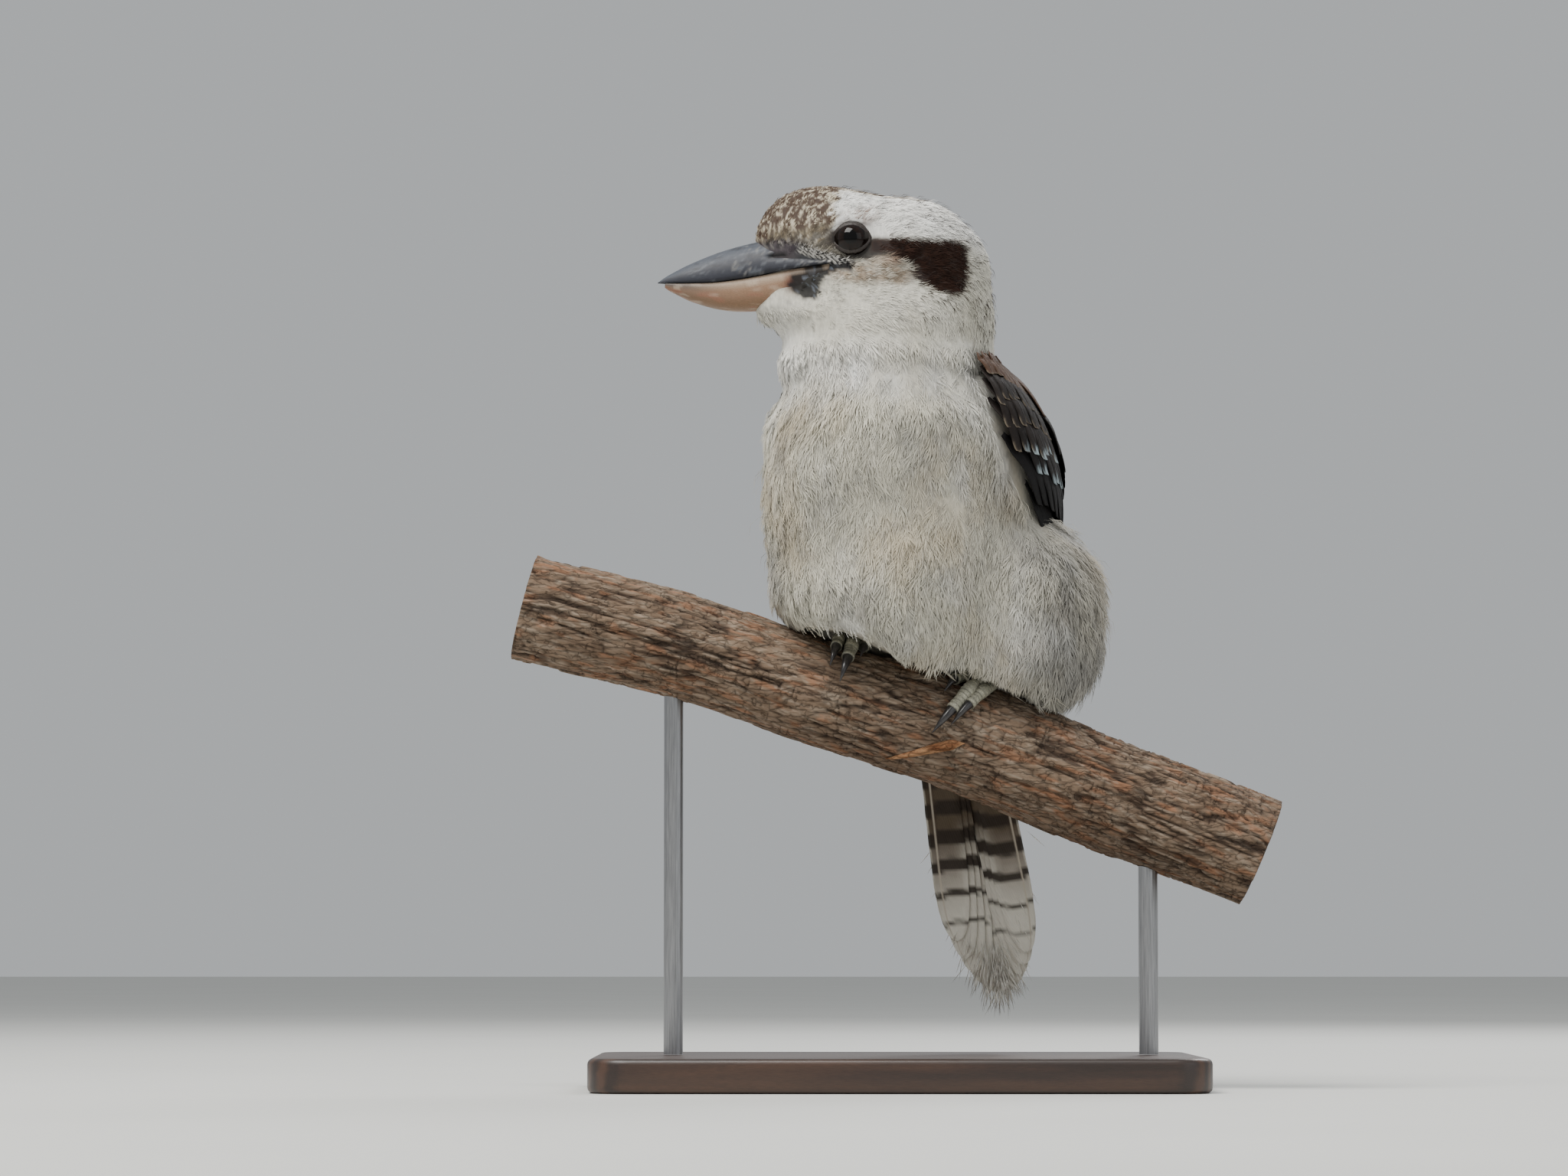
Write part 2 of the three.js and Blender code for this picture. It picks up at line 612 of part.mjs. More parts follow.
// A claw curves on from its toe's end face down to a point against the bark.
function makeClaw(side, name, grow = 0) {
  const plan = toePlan(side, name);
  const radius = toeRadius(plan)(1);
  const sign = Math.sign(plan.turn);
  const length = foot.clawLength * (name === "inner" ? 0.8 : 1) * plan.radius;
  const turnPerMm = 180 / (Math.PI * (perch.radius + 3));
  const x = plan.hub + plan.x + plan.slant;
  const path = (t) => {
    const d = mix(grow ? -1.5 : GAP + 0.25, length + 2 * grow, t);
    const angle = rad(plan.turn + sign * d * turnPerMm);
    const lift = radius + GAP + 0.25 + 1.6 * Math.sin(Math.PI * clamp(t, 0, 1) * 0.8) - 1.5 * t * t;
    const sideways = x + (plan.slant / 22) * d * 0.8;
    const point = perchPoint(sideways, angle, lift);
    return { point, out: perchPoint(sideways, angle, lift + 1).sub(point) };
  };
  const radiusAt = (t) => mix(radius * 0.84, 0.3, t ** 1.2) + grow;
  return grow ? tubeAlong(path, radiusAt, 2, 5) : tubeAlong(path, radiusAt, 4, 6);
}

// The trunk loses the perch, the wings' beds, the feet and the tail's root, and ends at the neck.
function makeTorso(perchGrown, wingPockets, feet) {
  const high = neckPlane - GAP - bodyOrigin.z;
  const levels = count(16).map((i) => mix(-28, high, i / 15));
  const whole = loft([plumagePole(-28, -1), ...levels.map((height) => plumageRing(height))]);
  const tailRoot = block(vec(-24, -14, -80), vec(24, 70, GAP), tailFrame);
  return largest(whole.subtract(joined([makeHem(), perchGrown, tailRoot, ...feet])).subtract(wingPockets));
}

// Colours and finishes.
const finish = (color, roughness, metalness = 0) => new THREE.MeshStandardMaterial({ color, roughness, metalness });
const finishes = {
  whitePlumage: finish(0xd8d4c8, 0.9),
  darkPlumage: finish(0x35291f, 0.7),
  barredPlumage: finish(0xb9a98c, 0.8),
  upperBill: finish(0x2c2f35, 0.4),
  lowerBill: finish(0xb89c84, 0.45),
  eye: finish(0x120b07, 0.05),
  scales: finish(0x77766a, 0.6),
  claw: finish(0x17171a, 0.3),
  bark: finish(0x7a6350, 0.95),
  wood: finish(0x3a2a20, 0.45),
  metal: finish(0x8f8f90, 0.35, 1),
};

function toMesh(name, solid, material) {
  const { vertProperties, triVerts, numProp, numVert } = solid.getMesh();
  const positions = new Float32Array(numVert * 3);
  for (let i = 0; i < numVert; i++) positions.set(vertProperties.subarray(i * numProp, i * numProp + 3), i * 3);
  const geometry = new THREE.BufferGeometry();
  geometry.setAttribute("position", new THREE.BufferAttribute(positions, 3));
  geometry.setIndex(new THREE.BufferAttribute(new Uint32Array(triVerts), 1));
  geometry.computeVertexNormals();
  const mesh = new THREE.Mesh(geometry, material);
  mesh.name = name;
  return mesh;
}

const perchSolid = makePerch();
const perchGrown = makePerch(GAP);
const wingPockets = joined([makeWingSpace(1, GAP), makeWingSpace(-1, GAP)]);
const sides = [["left", 1], ["right", -1]];

const stand = new THREE.Group();
stand.add(toMesh("stand_base", makeBase(), finishes.wood));
stand.add(toMesh("stand_rod_left", makeRod(rod.leftX, perchGrown), finishes.metal));
stand.add(toMesh("stand_rod_right", makeRod(rod.rightX, perchGrown), finishes.metal));
stand.add(toMesh("perch", perchSolid, finishes.bark));

const kookaburra = new THREE.Group();
const socketFeet = sides.flatMap(([, side]) => [
  makeFoot(side, 1.1),
  ...toeNames.map((toe) => makeClaw(side, toe, 1.1)),
]);
kookaburra.add(toMesh("torso", makeTorso(perchGrown, wingPockets, socketFeet), finishes.whitePlumage));
kookaburra.add(toMesh("neck", makeNeck(wingPockets), finishes.whitePlumage));
kookaburra.add(toMesh("head", makeHead(), finishes.whitePlumage));
const nostrils = joined([makeNostril(1), makeNostril(-1)]);
kookaburra.add(toMesh("bill_upper", largest(makeBill(true).subtract(nostrils)), finishes.upperBill));
kookaburra.add(toMesh("bill_lower", makeBill(false), finishes.lowerBill));
kookaburra.add(toMesh("tail", makeTail(), finishes.barredPlumage));
for (const [name, side] of sides) {
  kookaburra.add(toMesh("eye_" + name, makeEye(side), finishes.eye));
  kookaburra.add(toMesh("wing_" + name, largest(makeWing(side)), finishes.darkPlumage));
  kookaburra.add(toMesh("foot_" + name, largest(makeFoot(side)), finishes.scales));
  for (const toe of toeNames) {
    kookaburra.add(toMesh("claw_" + name + "_" + toe, makeClaw(side, toe), finishes.claw));
  }
}

const model = new THREE.Group();
model.add(stand, kookaburra);
export default model;
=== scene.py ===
# %% [markdown]
# A laughing kookaburra, life size, on a cut length of branch
#
# The bird sits upright with its body turned a little to our left and its head turned further, so that the
# long bill lies across the view. A plain base and two short rods hold the branch, as in a museum case. The
# solids of the part are loaded first, and every new piece is set on the same named sizes, so that it lands
# on them without fitting.

import math
from collections import namedtuple

import bmesh
import bpy
import numpy as np
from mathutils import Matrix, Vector


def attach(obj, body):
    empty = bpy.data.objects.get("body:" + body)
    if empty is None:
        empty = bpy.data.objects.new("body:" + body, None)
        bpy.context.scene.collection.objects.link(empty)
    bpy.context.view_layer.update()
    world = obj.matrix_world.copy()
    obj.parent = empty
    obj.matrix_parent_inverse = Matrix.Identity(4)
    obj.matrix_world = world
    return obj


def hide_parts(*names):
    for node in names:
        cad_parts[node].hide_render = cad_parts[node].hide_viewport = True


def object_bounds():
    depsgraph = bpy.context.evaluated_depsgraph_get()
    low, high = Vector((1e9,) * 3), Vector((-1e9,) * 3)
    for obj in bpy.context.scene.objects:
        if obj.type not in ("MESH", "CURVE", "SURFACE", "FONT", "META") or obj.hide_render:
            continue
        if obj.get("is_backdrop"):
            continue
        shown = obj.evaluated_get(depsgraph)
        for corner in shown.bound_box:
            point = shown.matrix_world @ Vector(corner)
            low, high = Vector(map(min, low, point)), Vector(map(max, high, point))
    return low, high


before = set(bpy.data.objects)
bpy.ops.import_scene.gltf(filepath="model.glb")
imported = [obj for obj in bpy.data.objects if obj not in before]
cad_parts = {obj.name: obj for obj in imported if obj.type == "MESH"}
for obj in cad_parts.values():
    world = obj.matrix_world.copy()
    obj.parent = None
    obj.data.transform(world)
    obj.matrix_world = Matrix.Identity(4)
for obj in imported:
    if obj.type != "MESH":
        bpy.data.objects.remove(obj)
solid_low, solid_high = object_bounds()
print("solids from", tuple(solid_low), "to", tuple(solid_high))

# %% [markdown]
# The camera
#
# The photograph was taken from a few metres away with a long lens, from a little below the bird, so the
# camera is low, tilted up by four degrees, and 2.2 metres away. A long lens keeps the bill from looking too
# large.

# %% Set up the camera
MM = 0.001
CAMERA_PLACE = Vector((-0.04635, -2.1946, 0.0535))
CAMERA_AIM = Vector((-0.04635, 0.0, 0.207))

camera_data = bpy.data.cameras.new("camera")
camera_data.lens = 121.8
camera_data.sensor_width = 36.0
camera = bpy.data.objects.new("camera", camera_data)
camera.location = CAMERA_PLACE
camera.rotation_euler = (CAMERA_AIM - CAMERA_PLACE).to_track_quat("-Z", "Y").to_euler()
bpy.context.scene.collection.objects.link(camera)
bpy.context.scene.camera = camera
print("camera", tuple(CAMERA_PLACE))

# %% [markdown]
# Colours and finishes
#
# A small helper makes a material's node tree. Colours are written as they look on a screen and turned into
# the linear values that a shader adds up. Each finish reads Object coordinates or the piece's own
# attribute, so the pattern stays on the piece from any side.

# %% Helpers for colours and node materials


def linear(red, green, blue):
    """A screen colour, 0 to 255, as linear light."""
    share = np.array([red, green, blue], float) / 255
    return np.where(share <= 0.04045, share / 12.92, ((share + 0.055) / 1.055) ** 2.4)


class Finish:
    """A material whose nodes are added by short calls."""

    def __init__(self, name, roughness=0.8, **sockets):
        self.material = bpy.data.materials.new(name)
        self.material.use_nodes = True
        self.tree = self.material.node_tree
        self.shader = self.tree.nodes["Principled BSDF"]
        self.shader.inputs["Roughness"].default_value = roughness
        for socket, value in sockets.items():
            self.shader.inputs[socket.replace("_", " ")].default_value = value

    def node(self, kind, inputs=None, **settings):
        made = self.tree.nodes.new(kind)
        for setting, value in settings.items():
            setattr(made, setting, value)
        for socket, value in (inputs or {}).items():
            if isinstance(value, bpy.types.NodeSocket):
                self.tree.links.new(value, made.inputs[socket])
            else:
                made.inputs[socket].default_value = value
        return made

    def place(self, scale=(1.0, 1.0, 1.0), turn=(0.0, 0.0, 0.0)):
        """Object coordinates, turned and stretched."""
        coordinates = self.node("ShaderNodeTexCoord").outputs["Object"]
        mapping = self.node("ShaderNodeMapping", {"Vector": coordinates, "Scale": scale, "Rotation": turn})
        return mapping.outputs["Vector"]

    def noise(self, where, scale, detail=4.0, roughness=0.6):
        inputs = {"Vector": where, "Scale": scale, "Detail": detail, "Roughness": roughness}
        return self.node("ShaderNodeTexNoise", inputs).outputs["Fac"]

    def ramp(self, value, stops):
        made = self.node("ShaderNodeValToRGB", {"Fac": value})
        elements = made.color_ramp.elements
        while len(elements) < len(stops):
            elements.new(0.5)
        for element, (position, colour) in zip(elements, stops):
            element.position = position
            element.color = (*colour, 1.0)
        return made.outputs["Color"]

    def blend(self, share, first, second, way="MIX"):
        inputs = {0: share, 6: first, 7: second}
        return self.node("ShaderNodeMix", inputs, data_type="RGBA", blend_type=way).outputs[2]

    def attribute(self, name, output="Color"):
        return self.node("ShaderNodeAttribute", attribute_name=name).outputs[output]

    def colour(self, socket):
        self.tree.links.new(socket, self.shader.inputs["Base Color"])
        return self

    def rough(self, value, low, high):
        inputs = {"Value": value, "To Min": low, "To Max": high}
        self.tree.links.new(
            self.node("ShaderNodeMapRange", inputs).outputs[0], self.shader.inputs["Roughness"]
        )
        return self

    def bump(self, height, distance, strength=1.0):
        inputs = {"Height": height, "Distance": distance, "Strength": strength}
        bumped = self.node("ShaderNodeBump", inputs)
        self.tree.links.new(bumped.outputs["Normal"], self.shader.inputs["Normal"])
        return self


print("helpers for finishes ready")

# %% [markdown]
# Floor and light
#
# The stage is a plain pale floor under plain soft studio light. One large lamp stands up to the left in
# front, a second fills from the right, and a third behind gives the feathers an edge, as the open sky does
# in the photograph.

# %% Make the floor and the lights
floor_bm = bmesh.new()
bmesh.ops.create_grid(floor_bm, x_segments=4, y_segments=4, size=14.0)
floor_mesh = bpy.data.meshes.new("floor")
floor_bm.to_mesh(floor_mesh)
floor_bm.free()
floor = bpy.data.objects.new("floor", floor_mesh)
bpy.context.scene.collection.objects.link(floor)
floor_finish = Finish("floor_finish", 0.9)
floor_tone = floor_finish.noise(floor_finish.place(), 3.0, 2.0)
floor_finish.colour(
    floor_finish.ramp(floor_tone, [(0.0, linear(206, 206, 202)), (1.0, linear(214, 214, 210))])
)
floor_mesh.materials.append(floor_finish.material)
floor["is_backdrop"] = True

world = bpy.data.worlds.new("studio")
bpy.context.scene.world = world
world.use_nodes = True
world.node_tree.nodes["Background"].inputs["Color"].default_value = (0.83, 0.86, 0.88, 1.0)
world.node_tree.nodes["Background"].inputs["Strength"].default_value = 0.56


def add_lamp(name, place, size, power, colour=(1.0, 1.0, 1.0)):
    data = bpy.data.lights.new(name, "AREA")
    data.size = size
    data.energy = power
    data.color = colour
    lamp = bpy.data.objects.new(name, data)
    lamp.location = place
    lamp.rotation_euler = (Vector((0.0, 0.0, 0.22)) - Vector(place)).to_track_quat("-Z", "Y").to_euler()
    bpy.context.scene.collection.objects.link(lamp)
    return lamp


add_lamp("key_lamp", (-0.7, -0.85, 2.0), 1.3, 66.0, (1.0, 0.985, 0.95))
add_lamp("fill_lamp", (1.5, -1.2, 0.9), 1.4, 5.0, (0.93, 0.97, 1.0))
add_lamp("edge_lamp", (0.7, 1.4, 1.3), 0.9, 20.0)
print("floor and three lamps")

# %% [markdown]
# The bird's outline as a field
#
# The part's solids take the plumage from one field: a spindle-shaped trunk and rounded masses for breast,
# belly, flanks and head, blended smoothly, less hollows for the eyes and the bill's bare base. The same
# named values are repeated here for numpy arrays, so that skin, feathers and wings all rest on the same
# outline. Sizes are in millimetres, and each frame has x forward, y to the left and z up.

# %% Profiles and frames


def profile(stops):
    """A smooth curve of value against position through a few stops, for arrays."""
    at = np.array([stop[0] for stop in stops], float)
    value = np.array([stop[1] for stop in stops], float)
    before = np.maximum(np.arange(len(stops)) - 1, 0)
    after = np.minimum(np.arange(len(stops)) + 1, len(stops) - 1)
    slope = (value[after] - value[before]) / (at[after] - at[before])

    def curve(position):
        x = np.clip(np.asarray(position, float), at[0], at[-1])
        i = np.clip(np.searchsorted(at, x) - 1, 0, len(at) - 2)
        span = at[i + 1] - at[i]
        t = (x - at[i]) / span
        start = (2 * t**3 - 3 * t**2 + 1) * value[i] + (t**3 - 2 * t**2 + t) * span * slope[i]
        return start + (3 * t**2 - 2 * t**3) * value[i + 1] + (t**3 - t**2) * span * slope[i + 1]

    return curve


def smooth(x, low, high):
    t = np.clip((np.asarray(x, float) - low) / (high - low), 0, 1)
    return t * t * (3 - 2 * t)


def mix(a, b, t):
    return a + (b - a) * t


def turned(degrees, origin):
    """A frame turned about the vertical: its axes as columns, and its origin."""
    c = math.cos(math.radians(degrees))
    s = math.sin(math.radians(degrees))
    return np.array([[c, -s, 0], [s, c, 0], [0, 0, 1]]), np.array(origin, float)


def out_of(place, points):
    return np.asarray(points, float) @ place[0].T + place[1]


def into(place, points):
    return (np.asarray(points, float) - place[1]) @ place[0]


BIRD_HEIGHT = 177
BIRD = turned(-128, (-1, 0, BIRD_HEIGHT))
HEAD = turned(-177, (-3.2, -5, 346))
lean = math.radians(16)
tip_forward = np.array([[math.cos(lean), 0, math.sin(lean)], [0, 1, 0], [-math.sin(lean), 0, math.cos(lean)]])
BELLY = (tip_forward @ BIRD[0], out_of(BIRD, [-2, 1, 33]))
print("bird faces", BIRD[0][:, 0].round(2), "and its head", HEAD[0][:, 0].round(2))

# %% The outline's masses
trunk_centre = profile(
    [(-60, -20), (-30, -22), (0, -23), (30, -24), (55, -21), (77, -15), (100, -4), (122, 6)]
)
trunk_radius = profile([(-60, 40), (-30, 42), (0, 46), (30, 50), (55, 54), (77, 55.5), (100, 52), (122, 41)])
TRUNK_LOW = 8
TRUNK_HIGH = 122

MASSES = [
    (BIRD, (4, -1, 82), (49, 49, 50), 12, 2),
    (BELLY, (0, 0, 0), (50.5, 48.5, 43), 14, 2.5),
    (BIRD, (-34, 42, 18), (34, 31, 41), 12, 2.2),
    (BIRD, (-34, -40, 24), (32, 29, 38), 12, 2.2),
    (BIRD, (-38, 0, 6), (31, 34, 40), 12, 2),
    (BIRD, (5, 0, 124), (40, 39, 44), 10, 2),
    (HEAD, (-1, 0, -4), (41, 31, 28), 8, 2),
    (HEAD, (29, 0, 4), (26.5, 20, 24), 14, 2),
    (HEAD, (-19, 0, -28), (27, 31, 36), 10, 2),
    (HEAD, (20, 0, -21), (34.5, 23, 20.5), 10, 2),
]
HOLLOWS = [
    (HEAD, (x, side * y, z), radii, blend, 2)
    for side in (1, -1)
    for x, y, z, radii, blend in (
        (16, 37, 2.5, (15, 12.5, 12), 7),
        (46, 29, -17, (20, 13.5, 8.5), 4),
        (46, 29, -8, (25, 13, 5.5), 4),
    )
]


def reach(piece, points):
    place, centre, radii, _, power = piece
    shares = np.abs(into(place, points) - centre) / radii
    near = np.maximum((shares**power).sum(1) ** (1 / power), 1e-6)
    steep = np.sqrt((((shares / near[:, None]) ** (power - 1) / radii) ** 2).sum(1))
    return (near - 1) / steep


def blended(a, b, k):
    h = np.maximum(k - np.abs(a - b), 0) / k
    return np.minimum(a, b) - h * h * k / 4


def plumage(points):
    """Distance from the plumage's outline, below zero inside. The trunk narrows under the throat."""
    local = into(BIRD, points)
    z = np.clip(local[:, 2], TRUNK_LOW, TRUNK_HIGH)
    ahead = local[:, 0] - trunk_centre(z)
    span = np.maximum(np.hypot(ahead, local[:, 1]), 1e-6)
    sideways = span - trunk_radius(z) + 6 * smooth(z, 98, TRUNK_HIGH) * smooth(ahead / span, 0.1, 0.5)
    distance = np.maximum(sideways, np.abs(local[:, 2] - z) - 4)
    for piece in MASSES:
        distance = blended(distance, reach(piece, points), piece[3])
    for piece in HOLLOWS:
        distance = -blended(-distance, reach(piece, points), piece[3])
    return distance


print("outline at the breast's middle:", plumage(out_of(BIRD, [[40, 0, 60]])).round(1), "mm")

# %% [markdown]
# What limits the skin
#
# The belly's plumage rests on the branch, ends in a level hem in front of it, and gives way to the folded
# wings. So the skin's shape is the plumage's outline made a coat's depth smaller, less the branch, the hem
# and the wings' beds.

# %% The branch
PERCH_LEFT = -153.8
PERCH_RIGHT = 150.2
PERCH_HEIGHT = 153.9
PERCH_SLOPE = -0.341
PERCH_BEND = 0.000275
PERCH_RADIUS = 22.4


def perch_centre(x):
    x = np.asarray(x, float)
    return np.stack([x, 0 * x, PERCH_HEIGHT + PERCH_SLOPE * x - PERCH_BEND * x * x], -1)


def perch_fall(x):
    return PERCH_SLOPE - 2 * PERCH_BEND * x


def perch_radius(x, angle):
    return PERCH_RADIUS + 0.006 * x + 0.8 * np.sin(x / 19 + angle) + 0.5 * np.sin(x / 31 - 2 * angle)


def perch_point(x, angle, lift):
    """A place on the branch: angle 0 is its crest, and positive angles are at the front."""
    x, angle = np.broadcast_arrays(np.asarray(x, float), np.asarray(angle, float))
    fall = perch_fall(x)
    length = np.sqrt(1 + fall * fall)
    out = np.stack([-fall / length * np.cos(angle), -np.sin(angle), np.cos(angle) / length], -1)
    return perch_centre(x) + out * (perch_radius(x, angle) + lift)[..., None]


def off_perch(points):
    """Distance out from the branch's surface."""
    x = points[:, 0]
    fall = perch_fall(x)
    rise = (points[:, 2] - perch_centre(x)[:, 2]) / np.sqrt(1 + fall * fall)
    return np.hypot(points[:, 1], rise) - perch_radius(x, np.arctan2(-points[:, 1], rise))


print("branch from", PERCH_LEFT, "to", PERCH_RIGHT, "mm")

# %% The wings' beds
FRONT_STOPS = [(-60, 152), (-30, 148), (0, 142), (30, 136), (52, 126), (60, 106), (67, 89), (77, 80)]
wing_front = profile(FRONT_STOPS + [(90, 78), (108, 83), (122, 87)])
wing_back = profile([(-60, 176), (0, 173), (60, 170), (100, 164), (122, 158)])
WING_TOP = 121
vane_front = profile([(-60, 150), (-20, 136), (20, 116), (50, 98), (77, 84), (90, 80), (108, 83), (122, 87)])


def wing_bed(points):
    """Where points lie on the wings' beds: height, angle from the breast in degrees, and lift off the bed."""
    local = into(BIRD, points)
    height = local[:, 2]
    sideways = local[:, 0] - trunk_centre(height)
    angle = np.degrees(np.arctan2(np.abs(local[:, 1]), sideways))
    return height, angle, np.hypot(sideways, local[:, 1]) - trunk_radius(height)


def in_wing(points, sink):
    """Above zero inside a wing's space, which starts a little under its bed."""
    height, angle, lift = wing_bed(points)
    girth = trunk_radius(height) * math.pi / 180
    across = np.minimum((angle - wing_front(height)) * girth, (wing_back(height) - angle) * girth)
    return np.minimum(np.minimum(across, lift + sink), WING_TOP - height)


print("wing at mid height spans", wing_front(60.0), "to", wing_back(60.0), "degrees from the breast")

# %% [markdown]
# How deep the coat is
#
# The real skin lies deep under loose plumage. Here it only has to lie a feather's thickness inside the
# outline, and where the photograph shows the breast, the throat or the chin fuller than the solids, it
# comes out a little. A soft oval in the head's side view is the tool for such local swellings, and later
# for spots of colour.

# %% The coat's depth and the skin's shape
def oval(x, z, middle, radii):
    """1 at the middle of a soft oval, fading to 0 outside it."""
    return np.exp(-(((x - middle[0]) / radii[0]) ** 2) - ((z - middle[1]) / radii[1]) ** 2)


def coat_depth(points):
    """The coat is thin round the bill and the eyes, and deepest at the nape."""
    local = into(HEAD, points)
    x, z = local[:, 0], local[:, 2]
    face = smooth(x, -6, 26) * smooth(z, -34, -20)
    nape = smooth(-x, 14, 34) * smooth(z, -46, -26)
    chin = 1.8 * oval(x, z, (54, -25), (5, 4)) - 2.0 * oval(x, z, (53, -36), (5, 5))
    throat = 4.6 * oval(x, z, (43, -46), (9, 8))
    height = points[:, 2] - BIRD_HEIGHT
    swell = 4.2 * np.exp(-(((height - 58) / 22) ** 2)) - 2.5 * np.exp(-(((height - 15) / 8) ** 2))
    breast = swell * smooth(-points[:, 0], 26, 48)
    depth = mix(mix(2.0, 1.2, smooth(z, -44, -24)), 0.7, face)
    return depth + 1.3 * nape - chin - throat - breast


def skin_shape(points):
    """Below zero inside the skin. Its hem in front of the branch is raised over the left toes."""
    over_toes = 3.4 + 3.5 * np.exp(-(((points[:, 0] + 21) / 12) ** 2))
    crest = perch_point(points[:, 0], np.zeros(len(points)), over_toes)[:, 2]
    hem = np.minimum(3 - points[:, 1], crest - points[:, 2])
    outside = np.maximum(plumage(points) + coat_depth(points), hem)
    outside = np.maximum(outside, 1.0 - off_perch(points))
    return np.maximum(outside, in_wing(points, 1.6))


print("thinnest coat", coat_depth(out_of(HEAD, [[50, 0, 5]])).round(1), "mm")

# %% [markdown]
# The skin
#
# One closed skin stands for torso, neck and head, so that no seam shows between them. It starts as bmesh's
# sphere, whose rings are then drawn on to the shape by rays from a line inside the body. Level rings run up
# the body, and the rings of the crown and the vent fan out from their own centres, which keeps the mesh
# even.

# %% Draw a sphere's rings on to the skin's shape
middle_x = profile([(-28, 22), (0, 16), (40, 12), (80, 5), (112, -3), (136, -5), (172, -24), (200, -26)])
middle_y = profile(
    [(-28, 34), (-12, 27), (0, 16), (40, 8), (80, 3), (112, -2.5), (136, -5), (172, -6.5), (200, -6.5)]
)
AROUND = 220
LEVEL_ROWS = 136
CROWN_ROWS = 46
VENT_ROWS = 22
VENT_HEIGHT = -8
CROWN_HEIGHT = 165
STRIDE = 2.5
LONGEST_RAY = 240
HALVINGS = 12


def leave(shape, start, direction):
    """The places where rays from inside a shape leave it."""
    far = np.zeros(len(start))
    going = np.ones(len(start), bool)
    while going.any() and far.max() < LONGEST_RAY:
        far[going] += STRIDE
        going[going] = shape(start[going] + far[going, None] * direction[going]) < 0
    near = np.maximum(far - STRIDE, 0)
    for _ in range(HALVINGS):
        half = (near + far) / 2
        inside = shape(start + half[:, None] * direction) < 0
        near = np.where(inside, half, near)
        far = np.where(inside, far, half)
    return start + near[:, None] * direction


def skin_rays():
    """Start height and elevation of each ring of rays, from the crown down."""
    crown = [(CROWN_HEIGHT, math.pi / 2 * (1 - i / CROWN_ROWS)) for i in range(CROWN_ROWS)]
    levels = [(mix(CROWN_HEIGHT, VENT_HEIGHT, i / LEVEL_ROWS), 0.0) for i in range(LEVEL_ROWS + 1)]
    vent = [(VENT_HEIGHT, -math.pi / 2 * (i + 1) / VENT_ROWS) for i in range(VENT_ROWS)]
    return np.array(crown + levels + vent)


def skin_grid():
    rays = skin_rays()
    turn = 2 * math.pi * np.arange(AROUND) / AROUND
    height = np.repeat(rays[:, 0], AROUND)
    rise = np.repeat(rays[:, 1], AROUND)
    angle = np.tile(turn, len(rays))
    start = np.stack([middle_x(height), middle_y(height), BIRD_HEIGHT + height], -1)
    direction = np.stack([np.cos(rise) * np.cos(angle), np.cos(rise) * np.sin(angle), np.sin(rise)], -1)
    return leave(skin_shape, start, direction).reshape(len(rays), AROUND, 3)


skin_places = skin_grid()
print("skin rings", skin_places.shape[:2])

# %% Helpers for new pieces


def new_object(name, mesh, slot, *finishes):
    """A piece of the bird: it rides on the part's root and takes the finishes it is given. The slot is not
    used.
    """
    made = bpy.data.objects.new(name, mesh)
    bpy.context.scene.collection.objects.link(made)
    for finish in finishes:
        mesh.materials.append(finish.material)
    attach(made, "root")
    return made


def paint(mesh, name, colours):
    """Stores one linear colour for each vertex."""
    values = np.ones((len(mesh.vertices), 4), np.float32)
    values[:, :3] = colours
    mesh.attributes.new(name, "FLOAT_COLOR", "POINT").data.foreach_set("color", values.ravel())


def vertex_places(mesh):
    places = np.empty(len(mesh.vertices) * 3)
    mesh.vertices.foreach_get("co", places)
    return places.reshape(-1, 3)


print("helpers for pieces ready")

# %% Give the sphere the skin's places and an unwrap
UNWRAP_WIDTH = 0.996


def make_skin_mesh():
    """A sphere's points sent to the skin's rings. The unwrap's corners past the seam stay at its right."""
    rows = len(skin_places)
    bm = bmesh.new()
    bmesh.ops.create_uvsphere(bm, u_segments=AROUND, v_segments=rows - 1, radius=1.0)
    mesh = bpy.data.meshes.new("skin")
    bm.to_mesh(mesh)
    bm.free()
    ball = vertex_places(mesh)
    row = np.rint(np.arccos(np.clip(ball[:, 2], -1, 1)) / math.pi * (rows - 1)).astype(int)
    column = np.rint(np.arctan2(ball[:, 1], ball[:, 0]) / (2 * math.pi) * AROUND).astype(int) % AROUND
    mesh.vertices.foreach_set("co", (skin_places[row, column] * MM).ravel())
    corner = np.empty(len(mesh.loops), int)
    mesh.loops.foreach_get("vertex_index", corner)
    start = np.empty(len(mesh.polygons), int)
    mesh.polygons.foreach_get("loop_start", start)
    face = np.searchsorted(start, np.arange(len(corner)), side="right") - 1
    across = column[corner].astype(float)
    widest = np.maximum.reduceat(across, start)[face]
    across = np.where((widest > AROUND / 2) & (across < AROUND / 2), across + AROUND, across)
    flat = np.stack([across / AROUND * UNWRAP_WIDTH, 1 - row[corner] / (rows - 1)], -1)
    mesh.uv_layers.new(name="OFBake").uv.foreach_set("vector", flat.ravel())
    mesh.polygons.foreach_set("use_smooth", np.ones(len(mesh.polygons), bool))
    mesh.update()
    return mesh


skin_mesh = make_skin_mesh()
print("skin faces", len(skin_mesh.polygons))

# %% [markdown]
# Markings
#
# Skin and feathers take their colours from one function of place, so they always agree. On the head the
# marks are outlined in the head's own side view: the brown streaks of the forehead, the dark mask behind
# the eye, the grey lores, and the tan cheek below the eye. The breast is off-white with soft buff and grey
# smudges, and the back brown.

# %% Soft noise for arrays
NOISE_CELLS = 8192
CELL_KEYS = np.array([73856093, 19349663, 83492791])
SEED_SHIFT = 17.3
noise_table = np.random.default_rng(11).random(NOISE_CELLS)


